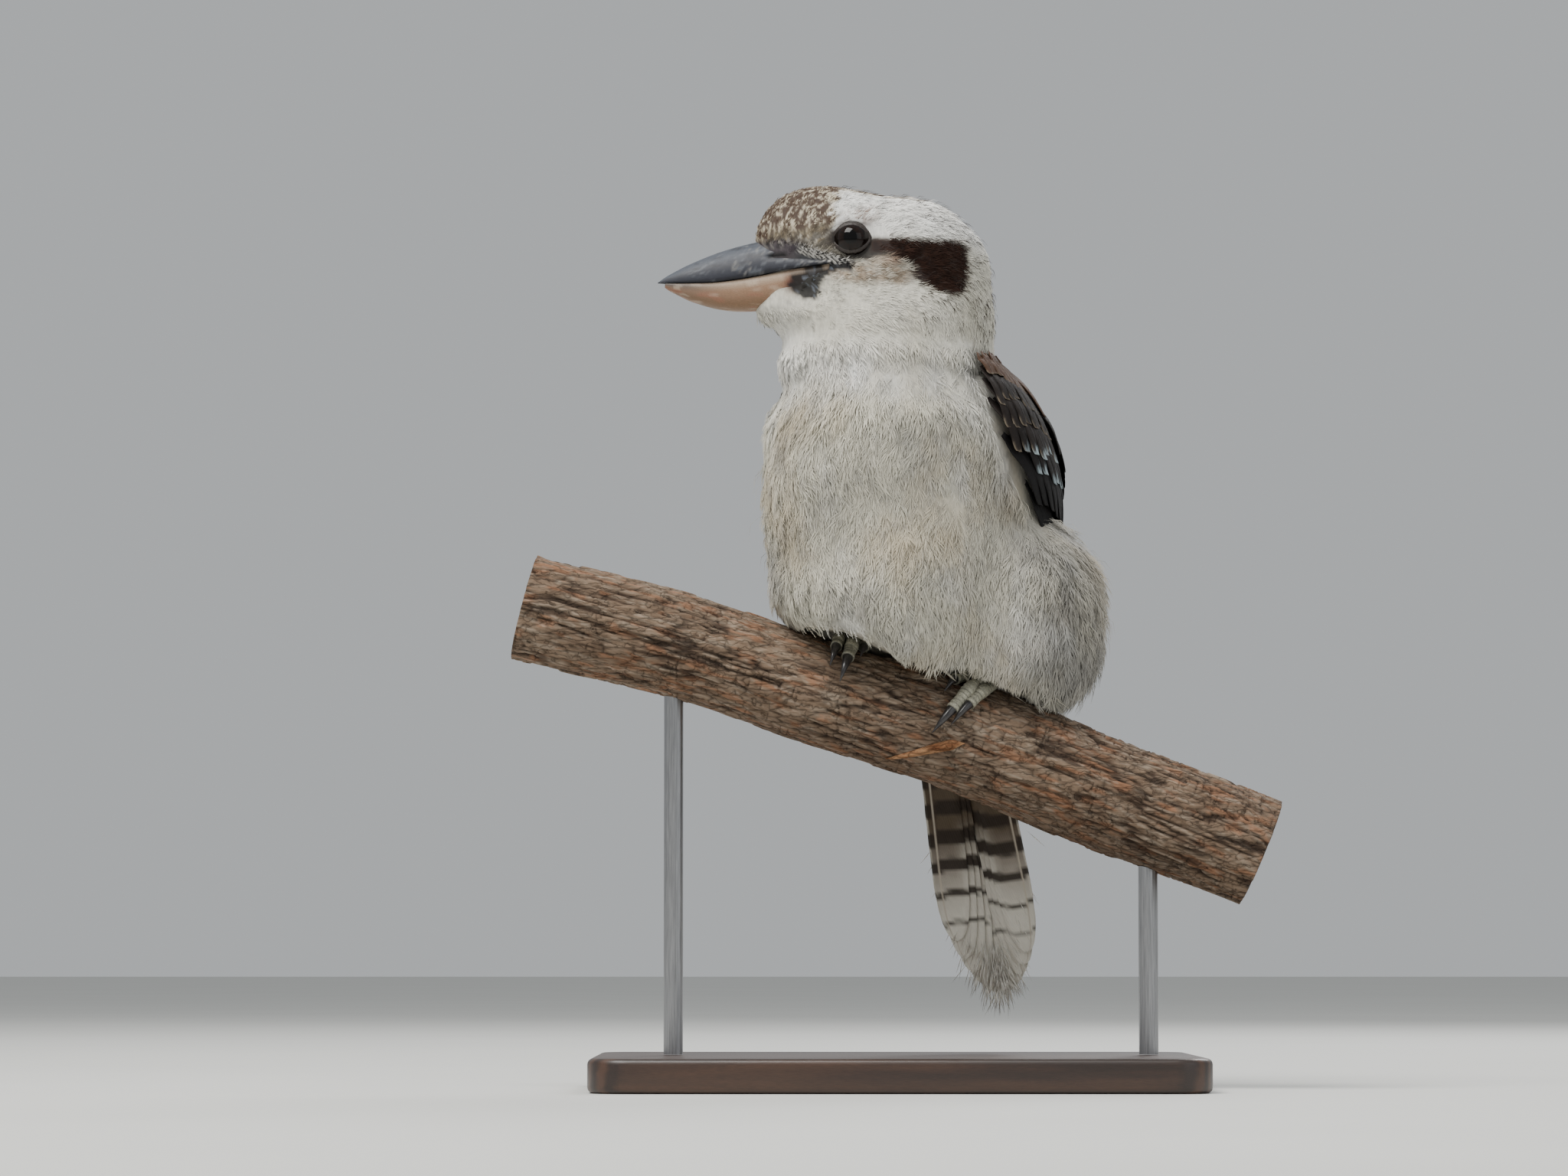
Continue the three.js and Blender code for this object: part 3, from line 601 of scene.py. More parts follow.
def noise(points, size, seed=0):
    """Smooth noise from 0 to 1 whose grains are about size millimetres across, or sizes along x, y and z."""
    q = points / np.asarray(size, float) + SEED_SHIFT * seed
    cell = np.floor(q).astype(np.int64)
    t = q - cell
    t = t * t * (3 - 2 * t)
    total = 0
    for corner in range(8):
        step = np.array([corner & 1, corner >> 1 & 1, corner >> 2 & 1])
        key = (cell + step) * CELL_KEYS
        value = noise_table[(key[:, 0] ^ key[:, 1] ^ key[:, 2]) & (NOISE_CELLS - 1)]
        total = total + value * np.prod(np.where(step, t, 1 - t), axis=1)
    return total


def layered(points, size, seed=0, layers=3):
    """Noise with finer and weaker layers added, from 0 to 1."""
    size = np.asarray(size, float)
    parts = [noise(points, size / 2**i, seed + i) / 2**i for i in range(layers)]
    return sum(parts) / sum(1 / 2**i for i in range(layers))


def edge_distance(outline, x, z):
    """Distance in from a closed outline, above zero inside it."""
    corners = np.array(outline, float)
    nearest = np.full(len(x), 1e9)
    inside = np.zeros(len(x), bool)
    for (ax, az), (bx, bz) in zip(corners, np.roll(corners, -1, 0)):
        along = np.clip(
            ((x - ax) * (bx - ax) + (z - az) * (bz - az)) / ((bx - ax) ** 2 + (bz - az) ** 2), 0, 1
        )
        nearest = np.minimum(nearest, np.hypot(x - ax - along * (bx - ax), z - az - along * (bz - az)))
        if az != bz:
            crosses = (az > z) != (bz > z)
            inside ^= crosses & (x < (bx - ax) * (z - az) / (bz - az) + ax)
    return np.where(inside, nearest, -nearest)


print("noise at the origin", noise(np.zeros((1, 3)), 5.0).round(3))

# %% The markings' outlines and colours
MASK = [
    (9, 3.4), (4.6, 2.8), (-5.7, 2.6), (-15.9, 2.3), (-25.4, 2.8), (-29.2, 0.4), (-30.2, -8.4),
    (-29.2, -14.3), (-27, -19.4), (-21.8, -20.9), (-13, -18), (-7.1, -12.8), (-5.4, -8.4), (0.2, -5.5),
    (4.6, -3.9), (9, -3),
]
UNDER_EYE = [(25, -1), (22, -4.6), (17, -6.4), (10, -6.6), (3.5, -4.6), (5, 1), (9.5, 4), (25, 6)]
TAN_CHEEK = [(11, -6), (3.5, -3.4), (-1, -5), (-3, -8.6), (2, -9.4), (9, -8.6)]
SPECKLED_CHEEK = [(29, -8), (18, -7), (-3, -8.5), (-8, -13), (-6, -17), (10, -16.5), (27, -15)]
LORES = [(50, 7), (38, 6.5), (27, 9), (22, 4), (24, -2), (16, -7.5), (30, -6), (40, -1), (50, 1)]
FOREHEAD = [
    (60, 14), (48, 24), (34, 30), (17, 30), (19.5, 25.8), (22, 21), (23.2, 17.5), (23.6, 13), (23, 7),
    (27, 4), (36, 2.6), (46, 1.6), (52, 0.6), (60, -2),
]
HORN_ROOT = [
    (58, 3.4), (52, 3.2), (48, 3.0), (42, 2.0), (38, 0.2), (30, -2.4), (24, -4.6), (17, -7), (17, -10.4),
    (28, -9.4), (40, -9), (58, -7),
]
GAPE = [
    (39.5, -9.4), (30, -7.6), (17, -7.6), (17, -9.4), (25, -11), (28.5, -14), (30, -18), (30.5, -21),
    (35, -21.5), (39.5, -19.5), (42, -15),
]
HORN_SIDE = [
    (62, 3.4), (56.5, 2.8), (51.8, 1.2), (50.2, -1.8), (44.8, -2.6), (38.4, -3.6), (28, -7.2), (18, -10),
    (18, -11.5), (27, -10.6), (37, -10), (39.5, -14), (39, -19), (43, -22.6), (55, -24), (62, -26),
]
BRISTLE_ROW = ((38.4, -1.0), (17.2, -7.4))

WHITE = linear(216, 211, 194)
BRIGHT = linear(252, 251, 247)
BUFF = linear(202, 182, 148)
GREY = linear(142, 140, 138)
BROWN = linear(54, 29, 20)
OLIVE = linear(122, 106, 80)
CREAM = linear(206, 192, 164)
MASK_BROWN = linear(38, 24, 19)
LORE_GREY = linear(44, 40, 39)
TAN = linear(150, 126, 102)
RUST = linear(112, 74, 56)
BACK = linear(40, 31, 27)
RUMP = linear(120, 80, 54)


def lay(colours, shade, share):
    """Lays a share of one shade, or of a shade for each place, over colours."""
    return mix(colours, shade, np.reshape(np.clip(share, 0, 1), (-1, 1)))


print("mask outline of", len(MASK), "points")

# %% The body's colours


def body_markings(points):
    """Off-white with smudges, painted shadow lines and flanks painted greyer as shade, a brown back and a
    barred rufous rump.
    """
    local = into(BIRD, points)
    height, angle, _ = wing_bed(points)
    smudge = layered(points, (13, 13, 22), 3)
    colours = lay(WHITE, BUFF, 1.8 * (layered(points, (18, 18, 26), 8) - 0.45))
    # Painted shade: the rear of the lower body is laid greyer, as if turned away from the light.
    painted_shade_rear = smooth(-local[:, 0], 6, 40) * (1 - smooth(height, 40, 80))
    colours = lay(colours, GREY, 2.0 * (smudge - 0.53) + 0.48 * painted_shade_rear)
    clean = 1.6 * (layered(points, (12, 12, 22), 5) - 0.55) + 0.75 * smooth(height, 92, 124)
    colours = lay(colours, BRIGHT, clean)
    # Painted shade: the bird's left flank below the wing, which faces away from the key lamp, is laid greyer.
    painted_shade_left_side = 0.28 * smooth(angle, 44, 84) * (1 - smooth(height, 76, 100)) * (local[:, 1] > 0)
    colours = lay(colours, GREY, painted_shade_left_side)
    # Painted shadow: thin grey lines where the edges of the feathers would cast shade.
    painted_shadow_lines = smooth(1 - np.abs(2 * layered(points, (6, 6, 9), 26, 2) - 1), 0.86, 1.0)
    colours = lay(colours, GREY, 0.4 * painted_shadow_lines)
    behind = smooth(angle + 6 * (noise(points, 5.0, 2) - 0.5), 150, 158) * smooth(height, 4, 12)
    collar = 1 - smooth(height + 5 * (noise(points, 4.0, 4) - 0.5), 124, 129)
    colours = lay(colours, mix(RUMP, BACK, 0.5), behind * collar)
    colours = lay(colours, BACK, behind * collar * smooth(height, 34, 56))
    bars = smooth(np.sin(local[:, 2] / 1.9 + 0.6 * np.sin(local[:, 1] / 5)), 0.1, 0.5)
    return lay(colours, linear(40, 32, 29), 0.7 * bars * behind * collar * (1 - smooth(height, 34, 56)))


print("breast colour", body_markings(out_of(BIRD, [[50, 0, 60]])).round(2))

# %% Bristles, gape and combed streaks
BILL_ROOT = np.array([50.0, 0.0, -15.0])


def bristles(x, z):
    """The row of black and white bristles from nostril to eye: how near the row, and the black ones."""
    start, end = np.array(BRISTLE_ROW)
    length = np.hypot(*(end - start))
    way = (end - start) / length
    along = (x - start[0]) * way[0] + (z - start[1]) * way[1]
    off = (z - start[1]) * way[0] - (x - start[0]) * way[1]
    near = (1 - smooth(np.abs(off), 1.2, 2.0)) * smooth(along, -1, 1)
    near = near * (1 - smooth(along, length - 2, length))
    return near, smooth(np.sin(along * 2 * math.pi / 1.8 + 0.5 * off), -0.25, 0.25)


def lay_gape(colours, points, x, z, side):
    """The black skin and bristles behind the lower bill, with painted slate-blue highlights and a brown spot
    in front.
    """
    ragged = 3.4 * (layered(points, (4, 1.4, 1.4), 25) - 0.5)
    colours = lay(colours, linear(96, 50, 40), side * oval(x, z, (41, -14.5), (3.0, 4.2)) * 0.9)
    gape = side * smooth(edge_distance(GAPE, x, z) + ragged, -0.9, 0.9)
    colours = lay(colours, linear(14, 12, 14), gape * 0.96)
    # Painted highlights: thin slate-blue streaks where the black skin would catch the light.
    painted_glints = smooth(noise(points, (2.4, 0.6, 0.6), 24), 0.74, 0.86)
    return lay(colours, linear(120, 128, 140), gape * 0.6 * painted_glints)


def combed(local, long, fine, seed):
    """Noise drawn out along the way the head's feathers lie, which is away from the bill's root."""
    ahead, up = BILL_ROOT[0] - local[:, 0], local[:, 2] - BILL_ROOT[2]
    spread = np.stack([np.hypot(ahead, up), 30 * np.arctan2(up, ahead), local[:, 1]], -1)
    return noise(spread, (long, fine, fine), seed)


print("bristles at the row's start", bristles(np.array([38.0]), np.array([-1.0]))[0].round(2))

# %% The head's colours


def lay_forehead(colours, points, local, core, fray):
    """Brown streaks on cream, from the bill back over the forehead and crown, with a ragged rear edge."""
    x, z = local[:, 0], local[:, 2]
    streak = 0.5 * combed(local, 6.0, 0.95, 12) + 0.5 * combed(local, 4.0, 0.6, 16)
    crown = smooth(x + 12 * noise(points, (7, 2.4, 5), 13), -16, 12)
    crown = crown * (1 - smooth(np.abs(local[:, 1]), 5, 11)) * smooth(z, 10, 18)
    inward = edge_distance(FOREHEAD, x, z) + fray + 8 * (combed(local, 7, 1.1, 28) - 0.5)
    forehead = np.maximum(smooth(inward, -1.0, 2.0), crown)
    rear_fade = 0.07 * (1 - smooth(inward, 0, 7)) * smooth(-x, -34, -24)
    low = 1 - smooth(z, 3, 12)
    colours = lay(colours, CREAM, forehead * 0.85)
    colours = lay(colours, OLIVE, forehead * low * 0.5)
    dark = smooth(0.75 * streak + 0.3 * core - 0.05 * low - rear_fade, 0.40, 0.49)
    return lay(colours, BROWN, forehead * 0.92 * dark)


def lay_round_eye(colours, points, local, side, fray, lines, speckle):
    """The rust spot and the fold above the eye, the lores in front of it, and the speckled cheek below."""
    x, z = local[:, 0], local[:, 2]
    above_eye = smooth(noise(points, 1.5, 14), 0.42, 0.58) * oval(x, z, (13, 12.5), (7, 3.4))
    colours = lay(colours, RUST, 0.85 * above_eye * side)
    fold = np.exp(-(((x - 16) / 7.5) ** 4) - ((z - 9.6 + 0.02 * (x - 16) ** 2) / 1.0) ** 2)
    colours = lay(colours, linear(66, 46, 44), 0.85 * fold * side)
    lores = side * smooth(edge_distance(LORES, x, z) + fray, -1.5, 1.5)
    colours = lay(colours, mix(OLIVE, CREAM, 0.4), lores * 0.6)
    colours = lay(colours, LORE_GREY, lores * (0.12 + 0.6 * lines))
    colours = lay(colours, linear(48, 36, 29), 0.8 * oval(x, z, (25, 3), (3.6, 5)) * side)
    colours = lay(colours, linear(52, 40, 40), side * oval(x, z, (43, -0.4), (8, 3.0)) * 0.85)
    cheek = side * smooth(edge_distance(SPECKLED_CHEEK, x, z) + fray, -2, 2.5)
    colours = lay(colours, TAN, cheek * (0.35 + 0.45 * speckle))
    colours = lay(colours, LORE_GREY, cheek * 0.45 * smooth(noise(points, 1.3, 23), 0.5, 0.7))
    colours = lay(colours, TAN, 0.6 * side * smooth(edge_distance(TAN_CHEEK, x, z) + 0.6 * fray, -1.2, 1.4))
    return lay(colours, RUST, side * oval(x, z, (1, -6), (3.2, 1.9)) * 0.6)


def lay_bill_root(colours, local, side, fray, lines):
    """Dark flesh where the feathers meet the bill, the nostril's slit painted near-black as shade, and the
    row of bristles over it.
    """
    x, z = local[:, 0], local[:, 2]
    root = side * smooth(edge_distance(HORN_ROOT, x, z) + 0.3 * fray, -0.7, 0.5)
    flesh = mix(linear(60, 62, 70), linear(80, 72, 78), smooth(x, 36, 42)[:, None])
    flesh = lay(flesh, linear(36, 33, 36), smooth(z, -1.5, 1.5) * lines)
    pale_lines = smooth(combed(local, 3.5, 0.8, 29), 0.55, 0.7)
    flesh = lay(flesh, linear(168, 162, 156), smooth(z, -1.5, 1.5) * 0.6 * pale_lines)
    colours = mix(colours, flesh, root[:, None] * 0.95)
    # Painted shade: the nostril's opening is laid near-black.
    slit = np.exp(-(((x - 46.4) / 3.6) ** 4) - ((z + 2.7) / 0.9) ** 2)
    colours = lay(colours, linear(10, 8, 9), side * slit * 1.4)
    row, black = bristles(x, z)
    colours = lay(colours, linear(214, 210, 204), side * row * (1 - black))
    return lay(colours, linear(24, 21, 22), side * row * black)


def markings(points, core=0.5):
    """Linear colours at places on the bird, in millimetres. The core of a feather is 1 at its shaft."""
    local = into(HEAD, points)
    x, z = local[:, 0], local[:, 2]
    inner = mix(8.0, 2.5, smooth(x, 22, 42))
    side = smooth(np.abs(local[:, 1]), inner, 1.75 * inner)
    fray = 2.4 * (layered(points, (4, 4, 4), 6) - 0.5)
    lines = smooth(combed(local, 4.5, 0.9, 15), 0.34, 0.54)
    speckle = smooth(noise(points, 1.6, 21), 0.42, 0.6)
    head = smooth(z, -52, -34)
    colours = lay(body_markings(points), WHITE, head * 0.75)
    # The head is painted brighter towards its top, partly its own whiter plumage and partly painted light
    # where the top light falls.
    colours = lay(colours, BRIGHT, head * smooth(z, -6, 8) * (0.6 + 0.5 * layered(points, (9, 9, 5), 9)))
    colours = lay(colours, BRIGHT, 0.6 * oval(x, z, (46, -38), (9, 12)))
    shadows = smooth(combed(local, 6, 1.1, 27), 0.58, 0.8)
    colours = lay(colours, GREY, 0.4 * shadows * smooth(z, -40, -20))
    colours = lay_forehead(colours, points, local, core, fray)
    colours = lay_round_eye(colours, points, local, side, fray, lines, speckle)
    colours = lay_bill_root(colours, local, side, fray, lines)
    colours = lay_gape(colours, points, x, z, side)
    under = side * smooth(edge_distance(UNDER_EYE, x, z) + 0.7 * fray, -1.0, 1.2)
    colours = lay(colours, linear(30, 23, 21), under * 0.94)
    mask = side * smooth(edge_distance(MASK, x, z) + 0.8 * fray, -1.2, 1.2)
    return lay(colours, mix(MASK_BROWN, linear(74, 50, 40), 0.3 * speckle[:, None]), mask)


print("mask colour", markings(out_of(HEAD, [[-10, 30, -5]])).round(2))

# %% Paint the skin
# The skin is painted 15 % darker than the markings, as painted shade under the coat of feathers.
paint(skin_mesh, "marking", markings(vertex_places(skin_mesh) / MM) * 0.85)
skin_finish = Finish("skin_finish", 0.9)
down_lines = skin_finish.noise(skin_finish.place((1, 1, 0.3)), 900.0, 3.0)
skin_tone = skin_finish.ramp(down_lines, [(0.3, (0.72,) * 3), (0.7, (1.0,) * 3)])
skin_finish.colour(skin_finish.blend(1.0, skin_finish.attribute("marking"), skin_tone, "MULTIPLY"))
skin = new_object("skin", skin_mesh, "white_plumage", skin_finish)
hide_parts("torso", "neck", "head")
print("painted", len(skin_mesh.vertices), "points of the skin")

# %% [markdown]
# The coat of small feathers
#
# Body feathers end in soft loose barbs, and from a few steps away a kookaburra's breast looks like tousled
# down with the edges of single feathers just showing. A particle system would show that in Blender but is
# lost on export, so the coat is solid mesh, joined into a few large pieces from arrays. Each small feather
# is a fan of thin barbs along its own short shaft, and each barb is a closed spindle of six faces. Every
# feather has its own lift and direction, which is what breaks the coat up as on the real bird. The feathers
# rise from the bill over the head, lie back along it, and turn down the body.

# %% Where the feathers grow and which way they lie
draw = np.random.default_rng(5)


def skin_normals():
    around = np.roll(skin_places, -1, 1) - np.roll(skin_places, 1, 1)
    crossed = np.cross(np.gradient(skin_places, axis=0), around)
    return crossed / np.maximum(np.linalg.norm(crossed, axis=2, keepdims=True), 1e-9)


def lie(points, normals):
    """The way that feathers point: up from the bill, back along the head, and down on the body."""
    head = into(HEAD, points)
    away = head - BILL_ROOT
    away[:, 2] *= 1 - 0.75 * smooth(BILL_ROOT[0] - head[:, 0], 16, 52)
    away[:, 1] *= 0.6
    away = away @ HEAD[0].T
    away /= np.linalg.norm(away, axis=1, keepdims=True)
    local = into(BIRD, points)
    outward = local * np.array([1.0, 1.0, 0.0])
    outward /= np.maximum(np.linalg.norm(outward, axis=1, keepdims=True), 1e-6)
    down = 0.12 * (outward @ BIRD[0].T) - np.array([0.0, 0.0, 1.0])
    share = smooth(head[:, 2] + 0.25 * head[:, 0], -48, -8)[:, None]
    flow = mix(down, away, share)
    wave = (layered(points, 16.0, 31) - 0.5)[:, None] * mix(1.7, 0.4, share)
    flow = flow + wave * np.cross(normals, flow)
    flow -= (flow * normals).sum(1, keepdims=True) * normals
    return flow / np.maximum(np.linalg.norm(flow, axis=1, keepdims=True), 1e-6)


def scatter(amount, weight):
    """Even random places on the skin: points, normals and flat places on its unwrap."""
    normals = skin_normals()
    cells = [skin_places[:-1], skin_places[1:]]
    a = np.roll(cells[0], -1, 1) - cells[0]
    b = cells[1] - cells[0]
    area = np.linalg.norm(np.cross(a, b), axis=2).ravel()
    middle = ((cells[0] + cells[1]) / 2).reshape(-1, 3)
    steps = np.cumsum(area * weight(middle))
    picks = np.searchsorted(steps, (np.arange(amount) + draw.random(amount)) / amount * steps[-1])
    row, column = np.divmod(np.minimum(picks, len(area) - 1), AROUND)
    u, v = draw.random(amount)[:, None], draw.random(amount)[:, None]

    def between(grid):
        after = (column + 1) % AROUND
        low = mix(grid[row, column], grid[row, after], u)
        return mix(low, mix(grid[row + 1, column], grid[row + 1, after], u), v)

    normal = between(normals)
    normal /= np.maximum(np.linalg.norm(normal, axis=1, keepdims=True), 1e-9)
    flat = np.concatenate(
        [(column[:, None] + u) / AROUND * UNWRAP_WIDTH, 1 - (row[:, None] + v) / (len(skin_places) - 1)], 1
    )
    return between(skin_places), normal, flat


EYE = np.array([16.2, 20.5, 2.8])


def bare(points):
    """Places with no feathers: the bill's root, the eyes, and what the wings cover."""
    head = into(HEAD, points)
    eye = ((head[:, 0] - EYE[0]) / 7.6) ** 2 + ((head[:, 2] - EYE[2]) / 6.3) ** 2 < 1
    bill = edge_distance(HORN_SIDE, head[:, 0], head[:, 2]) > 0
    wing = in_wing(points, 4.0) > 0.6
    return (eye & (np.abs(head[:, 1]) > 12)) | bill | wing


def crowding(points):
    """Head feathers are smaller and closer together."""
    head = into(HEAD, points)
    crowd = (
        1 + 1.8 * smooth(head[:, 2], -40, -20)
        + 2.2 * smooth(head[:, 0], 4, 26) * smooth(head[:, 2], -30, -16)
    )
    return np.where(bare(points), 0.0, crowd)


def rests_on_branch(points, normals):
    """The skin's flat underside above the branch, which stays bare."""
    return (normals[:, 2] < -0.8) & (points[:, 1] < 12) & (points[:, 2] < 215)


ROOTS = 18000
roots, root_normals, root_flat = scatter(ROOTS, crowding)
kept = ~(bare(roots) | rests_on_branch(roots, root_normals))
roots, root_normals, root_flat = roots[kept], root_normals[kept], root_flat[kept]
print("small feathers", len(roots))

# %% [markdown]
# From roots to barbs
#
# Down is soft because light catches single barbs, so each barb is a piece of mesh of its own. All barbs of
# a piece are worked out together as arrays, which takes a second where a loop over a million faces would
# take minutes. The normals of a barb are bent towards the skin's, because a thin spindle's own normals
# would make the coat sparkle.

# %% Sizes of the feathers and a mesh from arrays
# Height over the branch's crest, for places along it, below which no barb in front of the branch may hang.
HEM_STOPS = [(-60, -2), (-42, 0), (-30, 7), (-12, 7), (-3, 1), (8, -6), (14, -7), (25, -1), (36, 3)]
HEM = profile(HEM_STOPS + [(48, 1), (62, -2)])


def coat_sizes(points):
    """Length of a feather, its lift in degrees and the width of a barb, in millimetres."""
    head = into(HEAD, points)
    local = into(BIRD, points)
    face = smooth(head[:, 0], 0, 30) * smooth(head[:, 2], -34, -18)
    top = smooth(head[:, 2], -46, -22)
    flank = smooth(-local[:, 0], 0, 30) * (1 - smooth(local[:, 2], 30, 66))
    length = mix(mix(12.0 + 4.0 * flank, 7.5, top), 4.2, face)
    chin = smooth(head[:, 0], 22, 38) * (1 - smooth(head[:, 2], -27, -20)) * smooth(head[:, 2], -60, -48)
    throat = smooth(head[:, 0], 6, 24) * (1 - smooth(head[:, 2], -42, -34)) * smooth(head[:, 2], -68, -54)
    length = mix(mix(length, 11.0, throat), 6.5, chin)
    front = smooth(local[:, 0], 10, 34) * smooth(local[:, 2], -12, 4) * (1 - smooth(local[:, 2], 60, 84))
    lift = mix(9 + 6 * flank + 3 * front, 8, top) + 6 * throat
    beside_wing = smooth(in_wing(points, 4.0), -5, -1)
    return length + 3 * beside_wing, lift + 8 * beside_wing, mix(0.38, 0.25, top)


def joined_mesh(name, places, faces):
    """One mesh from arrays of places in millimetres and faces with the same number of corners."""
    mesh = bpy.data.meshes.new(name)
    mesh.vertices.add(len(places))
    mesh.vertices.foreach_set("co", (places * MM).astype(np.float32).ravel())
    mesh.loops.add(faces.size)
    mesh.loops.foreach_set("vertex_index", faces.astype(np.int32).ravel())
    mesh.polygons.add(len(faces))
    mesh.polygons.foreach_set("loop_start", np.arange(0, faces.size, faces.shape[1], dtype=np.int32))
    mesh.update(calc_edges=True)
    mesh.polygons.foreach_set("use_smooth", np.ones(len(faces), bool))
    return mesh


print("breast feather sizes", [np.round(size, 2) for size in coat_sizes(out_of(BIRD, [[50, 0, 60]]))])

# %% Grow fans of barbs
BARB_FACES = np.array([(0, 1, 2), (0, 2, 3), (0, 3, 1), (4, 2, 1), (4, 3, 2), (4, 1, 3)])
BARB_POINTS = 5
BARB_UNWRAP = 0.0014
BARBS = 12


def shortened(start, way, rise, normal, length):
    """Shortens barbs that would hang below the hem in front of the branch, or run into the branch."""
    kept = np.full(len(start), 0.2)
    for share in (0.4, 0.6, 0.8, 1.0):
        tip = start + (way + normal * rise[:, None]) * (share * length)[:, None]
        crest = perch_point(tip[:, 0], np.zeros(len(tip)), 0.0)[:, 2]
        free = (off_perch(tip) > 0.3) & ((tip[:, 2] > crest + HEM(tip[:, 0])) | (tip[:, 1] > 14))
        kept = np.where(free, share, kept)
    return length * kept


def grow_barbs(name, root, normal, flat, sizes, barbs=BARBS, shade=None):
    """A mesh of small feathers. Each barb is a point at its root, three points at its bend, and a tip."""
    count = len(root)
    length, lift, thick = sizes
    flow = lie(root, normal)
    across = np.cross(normal, flow)
    turn = np.radians(draw.normal(0, 9, count))[:, None]
    flow, across = flow * np.cos(turn) + across * np.sin(turn), across * np.cos(turn) - flow * np.sin(turn)
    tilt = np.radians(np.clip(lift * draw.uniform(0.4, 1.6, count) + 8 * (draw.random(count) > 0.93), 1, 38))
    tone = 1 + 0.15 * (draw.random(count) - 0.5)
    length = length * draw.uniform(0.8, 1.15, count)
    root, normal, flow, across, flat = (
        np.repeat(value, barbs, axis=0) for value in (root, normal, flow, across, flat)
    )
    length, tilt, tone, thick = (np.repeat(value, barbs) for value in (length, tilt, tone, thick))
    amount = len(root)
    fan = 1.0 if barbs > 4 else 0.4
    along = np.tile(np.arange(barbs) / max(barbs - 1, 1), count) * (barbs > 4)
    side = np.tile(np.where(np.arange(barbs) % 2, 1.0, -1.0), count)
    angle = side * fan * np.radians(mix(30.0, 6.0, along)) + np.radians(draw.normal(0, 5, amount))
    way = flow * np.cos(angle)[:, None] + across * np.sin(angle)[:, None]
    rise = np.tan(tilt * draw.uniform(0.7, 1.3, amount))
    start = root + (flow + normal * np.tan(tilt)[:, None] * 0.7) * (0.5 * along * length)[:, None]
    start = start - 0.6 * normal + across * (draw.uniform(-0.3, 0.3, amount))[:, None]
    long = length * mix(0.58, 0.5, along) * draw.uniform(0.75, 1.2, amount)
    long = shortened(start, way, 0.6 * rise, normal, long)
    bend = start + (way + normal * (1.1 * rise)[:, None]) * (0.5 * long)[:, None]
    tip = start + (way + normal * (0.6 * rise)[:, None]) * long[:, None]
    edge = np.cross(normal, way)
    half = (0.5 * thick * draw.uniform(0.75, 1.25, amount))[:, None]
    places = np.stack([start, bend + edge * half, bend - edge * half, bend + normal * half, tip], 1)
    facing = np.stack([normal, edge, -edge, normal, normal], 1)
    facing = 0.2 * facing + normal[:, None, :] + 0.12 * way[:, None, :]
    facing /= np.linalg.norm(facing, axis=2, keepdims=True)
    faces = (BARB_FACES[None] + BARB_POINTS * np.arange(amount)[:, None, None]).reshape(-1, 3)
    mesh = joined_mesh(name, places.reshape(-1, 3), faces)
    if shade is None:
        base = markings(start, 1 - np.abs(angle) / np.radians(34))
    else:
        base = np.tile(shade, (amount, 1))
    tone = tone * (1 + 0.07 * (draw.random(amount) - 0.5))
    # Along each barb the root is darker, partly the grey base of real down and partly painted shade, and the
    # tip is a little lighter as painted light.
    grey_root_and_painted_light = np.array([0.82, 0.97, 0.97, 0.97, 1.03])
    paint(mesh, "marking", (base[:, None, :] * (tone[:, None] * grey_root_and_painted_light[None])[:, :, None]).reshape(-1, 3))
    offset = np.array([(0, -1), (-1, 0.2), (1, 0.2), (0, 0.2), (0, 1)]) * BARB_UNWRAP
    uv = (flat[:, None, :] + offset[None]).reshape(-1, 2)
    mesh.uv_layers.new(name="OFBake").uv.foreach_set("vector", uv[faces.ravel()].astype(np.float32).ravel())
    mesh.normals_split_custom_set_from_vertices(facing.reshape(-1, 3))
    return mesh


print("each feather has", BARBS, "barbs of", len(BARB_FACES), "faces")

# %% Cover the skin
down_finish = Finish("down_finish", 0.9, Specular_IOR_Level=0.15)
down_finish.colour(down_finish.attribute("marking"))

PIECES = 8
order = np.argsort(root_flat[:, 1], kind="stable")
for part, group in enumerate(np.array_split(order, PIECES)):
    sizes = coat_sizes(roots[group])
    coat_mesh = grow_barbs(f"coat_{part + 1}", roots[group], root_normals[group], root_flat[group], sizes)
    new_object(f"coat_{part + 1}", coat_mesh, "white_plumage", down_finish)
    print("coat", part + 1, "triangles", len(coat_mesh.polygons))

# %% [markdown]
# Loose barbs
#
# A real coat is never quite closed: worn feathers on the flanks, the vent and the nape leave single barbs
# standing out. They are the same barbs as the coat's, two to a root, and only where the photograph shows
# the outline fray.

# %% Loose barbs on the flanks, the vent and the nape


def add_loose(name, amount, weight, length, lift, width, shade=None):
    """Single barbs that stand out from the coat, placed by a weight for each place."""
    places, normals, flat = scatter(amount, lambda points: np.where(bare(points), 0.0, weight(points)))
    free = ~(bare(places) | rests_on_branch(places, normals))
    places, normals, flat = places[free], normals[free], flat[free]
    ones = np.ones(len(places))
    mesh = grow_barbs(name, places, normals, flat, (length * ones, lift * ones, width * ones), 2, shade)
    new_object(name, mesh, "white_plumage", down_finish)
    print(name, len(mesh.polygons) // len(BARB_FACES))


def rear_of_body(points):
    local = into(BIRD, points)
    anywhere = 0.05 * (1 - smooth(local[:, 2], 84, 104))
    return anywhere + smooth(-local[:, 0], 0, 20) * (1 - smooth(local[:, 2], 20, 60))


def nape_and_crown(points):
    head = into(HEAD, points)
    nape = smooth(-head[:, 0], 0, 22) * smooth(head[:, 2], -40, -24)
    return nape + 0.6 * smooth(head[:, 2], 14, 20) * smooth(-head[:, 0], -26, -12)


